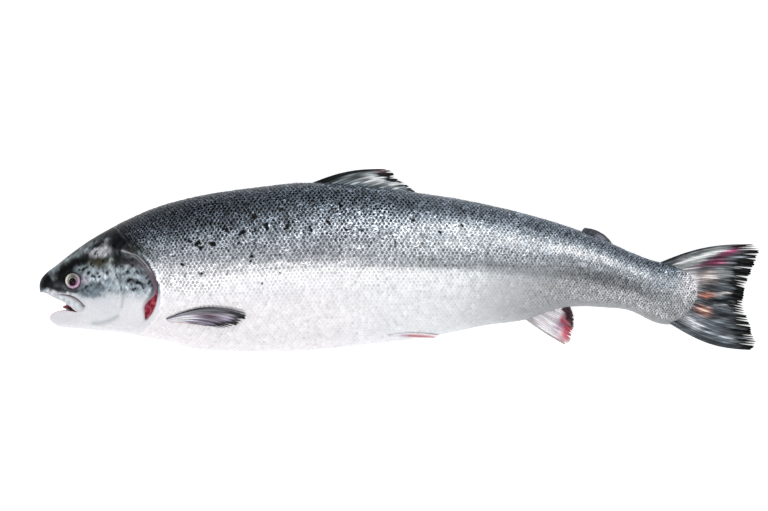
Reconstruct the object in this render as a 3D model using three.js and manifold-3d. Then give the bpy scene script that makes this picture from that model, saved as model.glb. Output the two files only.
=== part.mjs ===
// A whole Atlantic salmon lying on its right side on a flat surface.
//
// Millimetres, +Z up.  While it is modelled, x runs from the snout (0) to the tail, y runs from the
// belly to the back with 0 on the body's axis, and z is the height above the surface that the fish lies
// on.  At the end the whole group is shifted so that the origin is at the middle of the underside of
// its bounding box.
//
// The trunk, head and lower jaw are one lofted solid.  The eyes, gill covers, gills, upper jaw bones,
// tongue and fins are solids of their own, each seated a small clearance away from the body.

import * as THREE from 'three';
import { mergeVertices } from 'three/addons/utils/BufferGeometryUtils.js';
import Module from 'manifold-3d';

const wasm = await Module();
wasm.setup();

// ------------------------------------------------------------ driving dimensions

const BODY_LENGTH = 720;          // snout to the end of the flesh at the root of the tail fin
const BODY_DEPTH = 179;           // back to belly, at the deepest section
const BODY_WIDTH = 92;            // side to side, at the widest section
const BODY_RINGS = 62;            // sections along the body
const RING_POINTS = 32;           // points around each section

const SEAT_GAP = 0.5;             // clearance of a piece that lies on or against the body
const FIN_SEAT_GAP = 0.7;         // clearance of a fin of the back or belly, along its root
const POCKET_GAP = 0.4;           // clearance of a piece that sits in a pocket of the body

const EYE_DIAMETER = 19;
const EYE_THICKNESS = 12;
const EYE_SINK = 3.6;             // from the head's surface down to the middle of the eye

const GILL_COVER_THICKNESS = 2.6;
const MAXILLA_THICKNESS = 1.8;
const SLIT_DEPTH = 11;            // gill slit, measured inward from the body's side
const GILL_RECESS = 1.6;          // the gills' face below the body's side

const TONGUE_LENGTH = 9;
const TONGUE_WIDTH = 15;
const TONGUE_THICKNESS = 4.4;

const FIN_ROOT_THICKNESS = 4;     // every fin, where it leaves the body
const FIN_MARGIN_THICKNESS = 1.4; // every fin, at its free edge
const PECTORAL_LENGTH = 88;
const PELVIC_LENGTH = 56;
const DORSAL_HEIGHT = 21.5;
const DORSAL_LENGTH = 116;
const ADIPOSE_HEIGHT = 8;
const ADIPOSE_LENGTH = 37;
const ADIPOSE_ROOT = 22;          // the rest of its length is a free flap
const ANAL_HEIGHT = 42;
const ANAL_LENGTH = 46;
const TAIL_LENGTH = 64;           // from the end of the flesh to the tips of the fin
const TAIL_SPREAD = 118;          // from tip to tip of the tail fin

// ------------------------------------------------------------ profiles of the body
// Each row is [share of the body's length, value].  Heights are shares of BODY_DEPTH from the axis,
// half widths are shares of half of BODY_WIDTH, and the mid-plane's height above the surface is in
// millimetres.

const BACK = [[0, -0.106], [0.01, -0.034], [0.024, 0.01], [0.04, 0.06], [0.094, 0.207], [0.13, 0.282], [0.184, 0.372],
  [0.256, 0.441], [0.32, 0.477], [0.39, 0.506], [0.458, 0.498], [0.525, 0.468], [0.641, 0.4],
  [0.75, 0.298], [0.841, 0.175], [0.887, 0.093], [0.923, 0.04], [0.95, 0.022], [0.972, 0],
  [0.988, -0.044], [1, -0.126]];

const BELLY = [[0, -0.106], [0.009, -0.27], [0.025, -0.347], [0.067, -0.371], [0.121, -0.394],
  [0.188, -0.438], [0.238, -0.488], [0.331, -0.502], [0.42, -0.49], [0.507, -0.452], [0.584, -0.414],
  [0.668, -0.346], [0.725, -0.315], [0.785, -0.24], [0.859, -0.244], [0.887, -0.262], [0.923, -0.33],
  [0.945, -0.347], [0.966, -0.325], [0.983, -0.278], [1, -0.126]];

const HALF_WIDTH = [[0, 0], [0.012, 0.21], [0.052, 0.46], [0.091, 0.61], [0.136, 0.73], [0.181, 0.82],
  [0.241, 0.91], [0.331, 0.985], [0.435, 1], [0.539, 0.96], [0.629, 0.86], [0.719, 0.69], [0.795, 0.52],
  [0.856, 0.39], [0.917, 0.28], [0.963, 0.19], [0.985, 0.13], [1, 0]];

const MID_HEIGHT = [[0, 36], [0.052, 37.6], [0.136, 40], [0.181, 40.6], [0.241, 40.8], [0.331, 42],
  [0.435, 42.6], [0.539, 40.8], [0.629, 36.6], [0.719, 29.4], [0.795, 22.2], [0.856, 16.4],
  [0.917, 11.2], [0.963, 7.8], [1, 5]];

// ------------------------------------------------------------ outlines of the pieces, as seen from the side
// Points are [share of BODY_LENGTH, share of BODY_DEPTH] in the same frame as the profiles.

const EYE_CENTRE = [0.0545, -0.078];

const GAPE_ROOF = [[-0.05, -0.15], [0.011, -0.15], [0.025, -0.18], [0.039, -0.2], [0.061, -0.262]];
const GAPE_FLOOR = [[0.042, -0.252], [0.027, -0.26], [0.018, -0.285], [0.0145, -0.318], [0.012, -0.36],
  [-0.05, -0.36]];
const TONGUE_ROOT = 0.0475;       // share of the length where the tongue's rear end lies

const MAXILLA_TOP = [[0.02, -0.152], [0.039, -0.158], [0.05, -0.163], [0.058, -0.174], [0.066, -0.196],
  [0.0735, -0.226]];
const MAXILLA_EDGE = [[0.02, -0.164], [0.029, -0.183], [0.039, -0.199], [0.05, -0.23], [0.0605, -0.262],
  [0.0735, -0.236]];

const COVER_FRONT = [[0.111, 0.03], [0.116, -0.02], [0.124, -0.07], [0.129, -0.13], [0.128, -0.2],
  [0.122, -0.27], [0.113, -0.318], [0.1, -0.338]];
const COVER_REAR = [[0.136, 0.1], [0.155, 0.075], [0.169, 0.02], [0.179, -0.05], [0.185, -0.12],
  [0.177, -0.175], [0.1685, -0.21], [0.1645, -0.265], [0.161, -0.315], [0.145, -0.345], [0.112, -0.36]];

const SLIT_FRONT = [[0.181, -0.13], [0.169, -0.175], [0.16, -0.23], [0.156, -0.305]];
const SLIT_REAR = [[0.1865, -0.125], [0.1862, -0.17], [0.182, -0.23], [0.176, -0.277], [0.166, -0.31]];

const TAIL_ROOT_TOP = 0.918;      // where the tail fin's first short rays leave the peduncle, on the back
const TAIL_ROOT_BELLY = 0.94;     // and on the belly

// ------------------------------------------------------------ the shape of the body

const roundEnds = (share) => Math.acos(1 - 2 * THREE.MathUtils.clamp(share, 0, 1)) / Math.PI;
const fromRoundEnds = (u) => (1 - Math.cos(Math.PI * u)) / 2;

// A smooth curve through the rows of a profile.  It is drawn over an angle instead of the length, so
// that the body closes with a round end at the snout and at the tail.
function profile(rows) {
  const along = rows.map((row) => roundEnds(row[0]));
  const values = rows.map((row) => row[1]);
  const curve = new THREE.CubicInterpolant(along, values, 1);
  return (share) => curve.evaluate(roundEnds(share))[0];
}

const backShare = profile(BACK);
const bellyShare = profile(BELLY);
const widthShare = profile(HALF_WIDTH);
const midShare = profile(MID_HEIGHT);

const backAt = (x) => backShare(x / BODY_LENGTH) * BODY_DEPTH;
const bellyAt = (x) => bellyShare(x / BODY_LENGTH) * BODY_DEPTH;
const halfWidthAt = (x) => widthShare(x / BODY_LENGTH) * BODY_WIDTH / 2;
const midAt = (x) => midShare(x / BODY_LENGTH);

const at = ([along, up]) => new THREE.Vector2(along * BODY_LENGTH, up * BODY_DEPTH);

// Half of the body's thickness at a point of its side view: the section is an ellipse.  grow makes the
// section that much larger all round.
function halfThickness(x, y, grow = 0) {
  const centre = (backAt(x) + bellyAt(x)) / 2;
  const half = Math.max((backAt(x) - bellyAt(x)) / 2, 0.001) + grow;
  const offset = THREE.MathUtils.clamp((y - centre) / half, -1, 1);
  return (halfWidthAt(x) + grow) * Math.sqrt(1 - offset * offset);
}

// Height of a point that stands a distance off the body's skin, before the skin is flattened where it
// rests.  side is +1 for the left side, which is up, and -1 for the right side.
const offSkin = (x, y, side, distance) => midAt(x) + side * halfThickness(x, y, distance);
const skinAt = (x, y, side) => offSkin(x, y, side, 0);

// ------------------------------------------------------------ solids from rings

// A closed mesh through rings of points, each ring with the same number of points.  The first and last
// rings are capped, or are single repeated points.
function loft(rings) {
  const count = rings[0].length;
  const positions = rings.flat().flatMap((point) => point.toArray());
  const triangles = [];
  for (let i = 0; i < rings.length - 1; i++) {
    for (let j = 0; j < count; j++) {
      const a = i * count + j;
      const b = i * count + (j + 1) % count;
      triangles.push(a, b, a + count, b, b + count, a + count);
    }
  }
  const last = (rings.length - 1) * count;
  for (let j = 1; j < count - 1; j++) {
    triangles.push(0, j + 1, j);
    triangles.push(last, last + j, last + j + 1);
  }
  const geometry = new THREE.BufferGeometry();
  geometry.setAttribute('position', new THREE.Float32BufferAttribute(positions, 3));
  geometry.setIndex(triangles);
  return faceOut(closed(geometry));
}

// Merges shared vertices and drops the triangles that have no area.
function closed(geometry) {
  geometry.deleteAttribute('normal');
  geometry.deleteAttribute('uv');
  const merged = mergeVertices(geometry, 0.002);
  const index = Array.from(merged.index.array);
  const kept = [];
  for (let i = 0; i < index.length; i += 3) {
    const [a, b, c] = index.slice(i, i + 3);
    if (a !== b && b !== c && c !== a) kept.push(a, b, c);
  }
  merged.setIndex(kept);
  return merged;
}

function volume(geometry) {
  const position = geometry.attributes.position;
  const index = geometry.index.array;
  const [a, b, c] = [new THREE.Vector3(), new THREE.Vector3(), new THREE.Vector3()];
  let sum = 0;
  for (let i = 0; i < index.length; i += 3) {
    a.fromBufferAttribute(position, index[i]);
    b.fromBufferAttribute(position, index[i + 1]);
    c.fromBufferAttribute(position, index[i + 2]);
    sum += a.dot(b.cross(c)) / 6;
  }
  return sum;
}

// Turns a mesh whose triangles point inwards the right way round.
function faceOut(geometry) {
  if (volume(geometry) < 0) geometry.setIndex(Array.from(geometry.index.array).reverse());
  return geometry;
}

function solid(geometry) {
  const mesh = new wasm.Mesh({
    numProp: 3,
    vertProperties: new Float32Array(geometry.attributes.position.array),
    triVerts: new Uint32Array(geometry.index.array),
  });
  return new wasm.Manifold(mesh);
}

function fromSolid(manifold) {
  const mesh = manifold.getMesh();
  const geometry = new THREE.BufferGeometry();
  geometry.setAttribute('position', new THREE.Float32BufferAttribute(mesh.vertProperties, 3));
  geometry.setIndex(Array.from(mesh.triVerts));
  return closed(geometry);
}

// A thin curved plate between two lines of the side view.  rootLine and edgeLine give a point of the
// side view for s from 0 to 1, heights gives [lower z, upper z] at a point of the side view, t of the
// way from root to edge.
function plate(rootLine, edgeLine, heights, stations, across) {
  const rings = [];
  for (let i = 0; i <= stations; i++) {
    const root = rootLine(i / stations);
    const edge = edgeLine(i / stations);
    const upper = [];
    const lower = [];
    for (let j = 0; j <= across; j++) {
      const t = j / across;
      const point = root.clone().lerp(edge, t);
      const [low, high] = heights(point.x, point.y, t);
      upper.push(new THREE.Vector3(point.x, point.y, high));
      lower.unshift(new THREE.Vector3(point.x, point.y, low));
    }
    rings.push([...upper, ...lower]);
  }
  return loft(rings);
}

// A smooth line through points of the side view, at even steps of its length.
function line(points) {
  const curve = new THREE.SplineCurve(points);
  return (s) => curve.getPointAt(s);
}

// ------------------------------------------------------------ body

function bodyLoft() {
  const rings = [];
  for (let i = 0; i <= BODY_RINGS; i++) {
    const x = fromRoundEnds(i / BODY_RINGS) * BODY_LENGTH;
    const centre = (backAt(x) + bellyAt(x)) / 2;
    const half = (backAt(x) - bellyAt(x)) / 2;
    const ring = [];
    for (let j = 0; j < RING_POINTS; j++) {
      const angle = 2 * Math.PI * j / RING_POINTS;
      const z = midAt(x) + halfWidthAt(x) * Math.cos(angle);
      ring.push(new THREE.Vector3(x, centre + half * Math.sin(angle), Math.max(z, 0)));
    }
    rings.push(ring);
  }
  return loft(rings);
}

// The open mouth, seen from the side, cut right through between the jaws.
function gape() {
  const roof = GAPE_ROOF.map(at);
  const floor = GAPE_FLOOR.map(at);
  const shape = new THREE.Shape([...roof, ...floor]);
  const geometry = new THREE.ExtrudeGeometry(shape, { depth: 2 * BODY_WIDTH, bevelEnabled: false });
  geometry.translate(0, 0, -BODY_WIDTH / 2);
  return faceOut(closed(geometry));
}

function eyeBall(side, clearance) {
  const centre = at(EYE_CENTRE);
  const radius = EYE_DIAMETER / 2 + clearance;
  const depth = EYE_THICKNESS / 2 + clearance;
  const geometry = new THREE.SphereGeometry(1, 20, 10);
  geometry.rotateX(Math.PI / 2);
  geometry.scale(radius, radius, depth);
  geometry.translate(centre.x, centre.y, skinAt(centre.x, centre.y, side) - side * EYE_SINK);
  return faceOut(closed(geometry));
}

// The slit behind a gill cover.  With no clearance it is the pocket, open outwards; with a clearance it
// is the gills that sit in it, a little below the skin.
function slit(side, clearance) {
  const shrink = (points, shift) => points.map(at).map((point) => point.add(new THREE.Vector2(shift, 0)));
  const front = line(shrink(SLIT_FRONT, clearance));
  const rear = line(shrink(SLIT_REAR, -clearance));
  const trim = clearance > 0 ? 0.04 : 0;
  const along = (curve) => (s) => curve(trim + s * (1 - 2 * trim));
  const face = clearance > 0 ? -GILL_RECESS : 6;
  const heights = (x, y) => {
    const skin = skinAt(x, y, side);
    const ends = [skin + side * face, skin - side * (SLIT_DEPTH - clearance)];
    return [Math.min(...ends), Math.max(...ends)];
  };
  return plate(along(front), along(rear), heights, 10, 3);
}

function body() {
  let shape = solid(bodyLoft()).subtract(solid(gape()));
  for (const side of [1, -1]) {
    shape = shape.subtract(solid(eyeBall(side, POCKET_GAP)));
    shape = shape.subtract(solid(slit(side, 0)));
  }
  return fromSolid(shape);
}

// ------------------------------------------------------------ pieces that lie on the head

// A plate that lies on the skin, thickest in its middle.
function skinPlate(front, rear, thickness, side, stations, across) {
  const heights = (x, y, t) => {
    const near = offSkin(x, y, side, SEAT_GAP);
    const far = near + side * thickness * (0.45 + 0.55 * Math.sin(Math.PI * Math.min(t, 0.85)));
    return [Math.min(near, far), Math.max(near, far)];
  };
  return plate(line(front), line(rear), heights, stations, across);
}

function gillCover(side) {
  return skinPlate(COVER_FRONT.map(at), COVER_REAR.map(at), GILL_COVER_THICKNESS, side, 18, 5);
}

function maxilla(side) {
  return skinPlate(MAXILLA_TOP.map(at), MAXILLA_EDGE.map(at), MAXILLA_THICKNESS, side, 14, 3);
}

function tongue() {
  const floor = at(GAPE_FLOOR[0]).y;
  const rear = TONGUE_ROOT * BODY_LENGTH;
  const geometry = new THREE.SphereGeometry(1, 16, 8);
  geometry.scale(TONGUE_LENGTH / 2, TONGUE_THICKNESS / 2, TONGUE_WIDTH / 2);
  geometry.translate(rear - TONGUE_LENGTH / 2, floor + SEAT_GAP + TONGUE_THICKNESS / 2, midAt(rear));
  return faceOut(closed(geometry));
}

// ------------------------------------------------------------ fins

const finThickness = (t) => THREE.MathUtils.lerp(FIN_ROOT_THICKNESS, FIN_MARGIN_THICKNESS, Math.sqrt(t));

// A fin of the back or belly.  Its root follows the body's edge; its free edge is given by rows of
// [distance along the root in mm, height above the root in mm].  droop is how far its margin sags.
function medianFin(start, length, edgeRows, direction, droop) {
  const edgeOfBody = direction > 0 ? backAt : bellyAt;
  const root = (s) => {
    const x = start + s * length;
    return new THREE.Vector2(x, edgeOfBody(x) + direction * FIN_SEAT_GAP);
  };
  const edge = line(edgeRows.map(([along, height]) => {
    const x = start + along;
    return new THREE.Vector2(x, edgeOfBody(x) + direction * (FIN_SEAT_GAP + height));
  }));
  const heights = (x, y, t) => {
    const middle = midAt(x) - droop * t * t;
    return [middle - finThickness(t) / 2, middle + finThickness(t) / 2];
  };
  return plate(root, edge, heights, 22, 4);
}

const DORSAL_START = 0.402;       // shares of the length where each fin's root begins
const ADIPOSE_START = 0.811;
const ANAL_START = 0.731;
const DORSAL_DROOP = 5;
const ADIPOSE_DROOP = 3;
const ANAL_DROOP = 10;

function dorsalFin() {
  const rows = [[0, 0.06], [0.16, 0.32], [0.35, 0.64], [0.54, 0.88], [0.7, 1], [0.79, 0.93], [0.82, 0.64],
    [0.89, 0.45], [0.95, 0.24], [1, 0.07]].map(([a, h]) => [a * DORSAL_LENGTH, h * DORSAL_HEIGHT]);
  return medianFin(DORSAL_START * BODY_LENGTH, DORSAL_LENGTH, rows, 1, DORSAL_DROOP);
}

function adiposeFin() {
  const rows = [[0, 0.12], [0.2, 0.82], [0.54, 1], [0.83, 0.66], [0.97, 0.12]]
    .map(([a, h]) => [a * ADIPOSE_LENGTH, h * ADIPOSE_HEIGHT]);
  return medianFin(ADIPOSE_START * BODY_LENGTH, ADIPOSE_ROOT, rows, 1, ADIPOSE_DROOP);
}

function analFin() {
  const rows = [[-0.06, 0.05], [0.22, 0.2], [0.54, 0.58], [0.8, 0.88], [0.98, 1], [1.1, 0.68],
    [1.14, 0.4], [1.12, 0.14]].map(([a, h]) => [a * ANAL_LENGTH, h * ANAL_HEIGHT]);
  return medianFin(ANAL_START * BODY_LENGTH, ANAL_LENGTH, rows, -1, ANAL_DROOP);
}

// The tail fin's free edge, from its upper front to its lower front.  Rows are [share of TAIL_LENGTH
// behind the end of the flesh, share of TAIL_SPREAD above the fin's middle].
const TAIL_MARGIN = [[-0.55, 0.365], [-0.23, 0.4], [0.02, 0.447], [0.36, 0.483], [0.7, 0.492],
  [0.89, 0.478], [0.985, 0.432], [0.9, 0.32], [0.83, 0.229], [0.73, 0.11], [0.67, -0.017], [0.7, -0.127],
  [0.79, -0.237], [0.84, -0.347], [0.905, -0.458], [0.8, -0.5], [0.53, -0.483], [0.14, -0.432],
  [-0.14, -0.4], [-0.4, -0.34]];

const TAIL_MIDDLE = [0.93, -0.14];   // the middle of the flesh's end
const TAIL_CENTRE = -0.18;        // share of the depth where the fin's own middle lies
const TAIL_END_STEP = 3;          // from the root's ends to the free edge, along the fish
const RESTING_HEIGHT = 0.4;       // the lowest that a fin's face lies over the surface

// The tail fin's root runs along the back, round the end of the flesh, and along the belly.
function caudalFin() {
  const outline = [];
  const steps = 24;
  for (let i = 0; i <= steps; i++) {
    const x = fromRoundEnds(THREE.MathUtils.lerp(roundEnds(TAIL_ROOT_TOP), 1, i / steps)) * BODY_LENGTH;
    outline.push(new THREE.Vector2(x, backAt(x)));
  }
  for (let i = steps - 1; i >= 0; i--) {
    const x = fromRoundEnds(THREE.MathUtils.lerp(roundEnds(TAIL_ROOT_BELLY), 1, i / steps)) * BODY_LENGTH;
    outline.push(new THREE.Vector2(x, bellyAt(x)));
  }
  const middle = at(TAIL_MIDDLE);
  const away = (point) => point.clone().sub(middle).setLength(FIN_SEAT_GAP);
  const seated = outline.map((point) => point.clone().add(away(point)));
  const root = line(seated);
  const centre = TAIL_CENTRE * BODY_DEPTH;
  const tip = ([along, up]) => (
    new THREE.Vector2(BODY_LENGTH + along * TAIL_LENGTH, centre + up * TAIL_SPREAD));
  const first = root(0).add(new THREE.Vector2(TAIL_END_STEP, 1));
  const last = root(1).add(new THREE.Vector2(TAIL_END_STEP, -1));
  const edge = line([first, ...TAIL_MARGIN.map(tip), last]);
  const heights = (x, y, t) => {
    const high = Math.max(midAt(x) * (1 - t * t), 0) + finThickness(t) / 2 + RESTING_HEIGHT * t;
    return [Math.max(high - finThickness(t), RESTING_HEIGHT), high];
  };
  return plate(root, edge, heights, 44, 5);
}

// A paired fin laid back along the flank.  Rows are shares of the fin's length along it and above its
// root.
function pairedFin(rootAt, length, topRows, edgeRows, side, tilt, lift) {
  const origin = at(rootAt);
  const turn = ([a, h]) => new THREE.Vector2(a * length, h * length)
    .rotateAround(new THREE.Vector2(), THREE.MathUtils.degToRad(tilt)).add(origin);
  const heights = (x, y, t) => {
    const away = (x - origin.x) / length;
    const near = offSkin(x, y, side, SEAT_GAP + lift * Math.max(away, 0));
    const far = near + side * finThickness(Math.max(away, 0.2)) * 0.7;
    if (side > 0) return [near, far];
    return [Math.max(far, RESTING_HEIGHT), Math.max(near, RESTING_HEIGHT + FIN_MARGIN_THICKNESS)];
  };
  return plate(line(topRows.map(turn)), line(edgeRows.map(turn)), heights, 18, 4);
}

const PECTORAL_TOP = [[0, 0.01], [0.09, 0.068], [0.24, 0.125], [0.42, 0.148], [0.6, 0.157],
  [0.81, 0.136], [0.99, 0.08]];
const PECTORAL_EDGE = [[0.03, -0.015], [0.18, -0.034], [0.42, -0.057], [0.6, -0.09], [0.727, -0.1],
  [0.81, -0.08], [0.91, -0.034], [1, 0.045]];
const PELVIC_TOP = [[0, 0.02], [0.2, 0.075], [0.45, 0.1], [0.75, 0.07], [0.99, 0.02]];
const PELVIC_EDGE = [[0.02, -0.02], [0.22, -0.055], [0.5, -0.085], [0.78, -0.07], [1, -0.01]];

// The left pectoral fin lies back on the flank.  The right one hangs a little lower, between the belly
// and the surface.
const pectoralFin = (side) => (side > 0
  ? pairedFin([0.1935, -0.31], PECTORAL_LENGTH, PECTORAL_TOP, PECTORAL_EDGE, side, 0, 3)
  : pairedFin([0.1935, -0.345], PECTORAL_LENGTH, PECTORAL_TOP, PECTORAL_EDGE, side, -8, 0));
const pelvicFin = (side) => pairedFin([0.52, -0.405], PELVIC_LENGTH, PELVIC_TOP, PELVIC_EDGE, side, -1, 1);

// ------------------------------------------------------------ finishes and assembly

const finish = (color, roughness) => new THREE.MeshStandardMaterial({ color, roughness, metalness: 0 });

const SKIN = finish(0x9aa3aa, 0.35);
const BONE = finish(0xb9bcc0, 0.3);
const EYE = finish(0x16161a, 0.1);
const FLESH = finish(0x7c1f22, 0.45);
const DARK_FIN = finish(0x4c5058, 0.45);
const PALE_FIN = finish(0x9a9096, 0.45);

const salmon = new THREE.Group();

function piece(name, geometry, material) {
  const mesh = new THREE.Mesh(geometry, material);
  mesh.name = name;
  salmon.add(mesh);
}

piece('body', body(), SKIN);
for (const [word, side] of [['left', 1], ['right', -1]]) {
  piece(`${word}_eye`, eyeBall(side, 0), EYE);
  piece(`${word}_gill_cover`, gillCover(side), BONE);
  piece(`${word}_gills`, slit(side, POCKET_GAP), FLESH);
  piece(`${word}_maxilla`, maxilla(side), BONE);
  piece(`${word}_pectoral_fin`, pectoralFin(side), PALE_FIN);
  piece(`${word}_pelvic_fin`, pelvicFin(side), PALE_FIN);
}
piece('tongue', tongue(), FLESH);
piece('dorsal_fin', dorsalFin(), DARK_FIN);
piece('adipose_fin', adiposeFin(), DARK_FIN);
piece('anal_fin', analFin(), PALE_FIN);
piece('caudal_fin', caudalFin(), DARK_FIN);

const box = new THREE.Box3().setFromObject(salmon);
salmon.position.set(-(box.min.x + box.max.x) / 2, -(box.min.y + box.max.y) / 2, -box.min.z);

export default salmon;
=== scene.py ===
# %% [markdown]
# # A whole salmon on its side
# This lesson dresses a plain model of a salmon: a limp, wet fish that lies on its right side. The plain model
# comes in as a fixed frame, and every surface here is worked out with numpy around it: the skin as a loft of
# ellipses, some seven and a half thousand overlapping scales on each side, fins made of separate rays,
# layered eyes, gills and a mouth.

# %% [markdown]
# ## The frame
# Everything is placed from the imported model, so it is loaded first. Its box is kept, because the finished
# fish has to fill the same box.

import bmesh
import bpy
import numpy as np
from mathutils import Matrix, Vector


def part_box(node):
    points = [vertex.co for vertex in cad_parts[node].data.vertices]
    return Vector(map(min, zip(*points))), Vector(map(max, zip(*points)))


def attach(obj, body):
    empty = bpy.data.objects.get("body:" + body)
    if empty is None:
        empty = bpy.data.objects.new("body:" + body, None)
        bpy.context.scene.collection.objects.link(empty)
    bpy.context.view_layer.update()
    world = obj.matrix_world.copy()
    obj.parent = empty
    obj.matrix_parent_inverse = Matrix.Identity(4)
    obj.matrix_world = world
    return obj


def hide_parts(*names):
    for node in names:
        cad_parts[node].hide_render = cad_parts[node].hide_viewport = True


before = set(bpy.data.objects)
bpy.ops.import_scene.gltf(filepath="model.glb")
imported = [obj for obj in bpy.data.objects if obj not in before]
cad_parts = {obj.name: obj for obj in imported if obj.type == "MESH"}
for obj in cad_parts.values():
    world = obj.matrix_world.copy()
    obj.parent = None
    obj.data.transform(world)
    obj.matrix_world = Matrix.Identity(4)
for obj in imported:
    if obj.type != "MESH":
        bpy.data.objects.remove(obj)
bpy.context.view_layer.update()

# %% [markdown]
# ## Units and the fish's own axes
# All sizes below are millimetres in the fish's own axes, as an anatomist would measure it: x runs back from
# the snout, y runs from the belly up to the back with 0 on the body's axis, and z is the height above the
# table. The body's box tells how these axes lie in the frame.

# %% Driving sizes
MM = 0.001
BACK = [[0, -0.106], [0.01, -0.034], [0.024, 0.01], [0.04, 0.06], [0.094, 0.207], [0.13, 0.282],
        [0.184, 0.372], [0.256, 0.441], [0.32, 0.477], [0.39, 0.506], [0.458, 0.498], [0.525, 0.468],
        [0.641, 0.4], [0.75, 0.298], [0.841, 0.175], [0.887, 0.093], [0.923, 0.04], [0.95, 0.022],
        [0.972, 0], [0.988, -0.044], [1, -0.126]]
BELLY = [[0, -0.106], [0.009, -0.27], [0.025, -0.347], [0.067, -0.371], [0.121, -0.394], [0.188, -0.438],
         [0.238, -0.488], [0.331, -0.502], [0.42, -0.49], [0.507, -0.452], [0.584, -0.414],
         [0.668, -0.346], [0.725, -0.315], [0.785, -0.24], [0.859, -0.244], [0.887, -0.262],
         [0.923, -0.33], [0.945, -0.347], [0.966, -0.325], [0.983, -0.278], [1, -0.126]]
HALF_WIDTH = [[0, 0], [0.012, 0.21], [0.052, 0.46], [0.091, 0.61], [0.136, 0.73], [0.181, 0.82],
              [0.241, 0.91], [0.331, 0.985], [0.435, 1], [0.539, 0.96], [0.629, 0.86], [0.719, 0.69],
              [0.795, 0.52], [0.856, 0.39], [0.917, 0.28], [0.963, 0.19], [0.985, 0.13], [1, 0]]
MID_HEIGHT = [[0, 36], [0.052, 37.6], [0.136, 40], [0.181, 40.6], [0.241, 40.8], [0.331, 42],
              [0.435, 42.6], [0.539, 40.8], [0.629, 36.6], [0.719, 29.4], [0.795, 22.2], [0.856, 16.4],
              [0.917, 11.2], [0.963, 7.8], [1, 5]]
DEPTH = 179.0
WIDTH = 92.0
body_low, body_high = (np.array(corner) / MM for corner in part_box("body"))
LENGTH = body_high[0] - body_low[0]
SNOUT = body_low[0]


def round_ends(share):
    """The angle whose cosine falls from 1 at the snout to -1 at the tail, as a share of half a turn. A curve
    drawn over it closes with a round end."""
    return np.arccos(1 - 2 * np.clip(share, 0, 1)) / np.pi


def smooth(rows):
    """A curve through rows of [share of the length, value]: between two rows it is the cubic whose slope at
    each row is the slope between that row's neighbours."""
    share, value = np.array(rows, float).T
    u = round_ends(share)
    slope = np.gradient(value, u)
    slope[1:-1] = (value[2:] - value[:-2]) / (u[2:] - u[:-2])

    def at(x):
        t = round_ends(np.asarray(x, float) / LENGTH)
        i = np.clip(np.searchsorted(u, t, side="right") - 1, 0, len(u) - 2)
        step = u[i + 1] - u[i]
        s = (t - u[i]) / step
        return (value[i] * (2 * s**3 - 3 * s**2 + 1) + slope[i] * step * (s**3 - 2 * s**2 + s)
                + value[i + 1] * (3 * s**2 - 2 * s**3) + slope[i + 1] * step * (s**3 - s**2))

    return at


back_share, belly_share, width_share, mid_at = (smooth(r) for r in (BACK, BELLY, HALF_WIDTH, MID_HEIGHT))


def back_at(x):
    return back_share(x) * DEPTH


def belly_at(x):
    return belly_share(x) * DEPTH


def width_at(x):
    """Half the body's thickness."""
    return np.maximum(width_share(x), 0) * WIDTH / 2


AXIS = body_high[1] - back_at(np.linspace(0, LENGTH, 2000)).max()
print(f"length {LENGTH:.1f} mm, axis at {AXIS:.2f} mm, snout at {SNOUT:.1f} mm")

# %% [markdown]
# ## Small helpers
# A mesh is a grid of points and the quads between them, written in one go. Colours are chosen as the eye sees
# them, in sRGB, and turned linear, as the renderer counts them. One function adds a node with its settings
# and links.


# %% Mesh, colour and node helpers
def to_linear(srgb):
    return np.where(srgb <= 0.04045, srgb / 12.92, ((np.maximum(srgb, 0) + 0.055) / 1.055) ** 2.4)


def linear(code):
    """An sRGB hex colour as linear red, green and blue."""
    return to_linear(np.array([int(code[i:i + 2], 16) for i in (0, 2, 4)]) / 255)


def mixed(colour, code, share):
    """The colour with a share of another, given in hex, mixed in."""
    share = np.asarray(share)[..., None]
    return colour * (1 - share) + linear(code) * share


def airbrush(colour, x, y, patches, edge):
    """Each patch mixed in by a bell that falls off with the distance from its middle along its own two axes.
    The higher edge is, the flatter the bell's top and the crisper its rim."""
    for along, up, long, high, turn, code, strength in patches:
        c, s = np.cos(np.radians(turn)), np.sin(np.radians(turn))
        a = ((x - along) * c + (y - up) * s) / long
        b = ((y - up) * c - (x - along) * s) / high
        colour = mixed(colour, code, strength * np.exp(-(a * a + b * b) ** edge))
    return colour


def rgba(code):
    return (*linear(code), 1.0)


def between(pair, share):
    """From the pair's first value at share 0 to its second at share 1."""
    return pair[0] + (pair[1] - pair[0]) * share


def clamp01(value):
    return np.clip(value, 0, 1)


def ease(value):
    """0 below 0, 1 above 1 and an S-shaped cubic between."""
    value = clamp01(value)
    return value * value * (3 - 2 * value)


def grid_quads(rows, columns, around=False, offset=0):
    """The quads of a grid of points numbered row by row. around joins the last column to the first."""
    i, j = np.meshgrid(np.arange(rows - 1), np.arange(columns if around else columns - 1), indexing="ij")
    k = (j + 1) % columns
    quads = np.stack([i * columns + j, i * columns + k, (i + 1) * columns + k, (i + 1) * columns + j], -1)
    return quads.reshape(-1, 4) + offset


def to_frame(points):
    """From the fish's own axes in millimetres to the frame in metres."""
    return (np.asarray(points, float).reshape(-1, 3) + [SNOUT, AXIS, 0]) * MM


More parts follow.
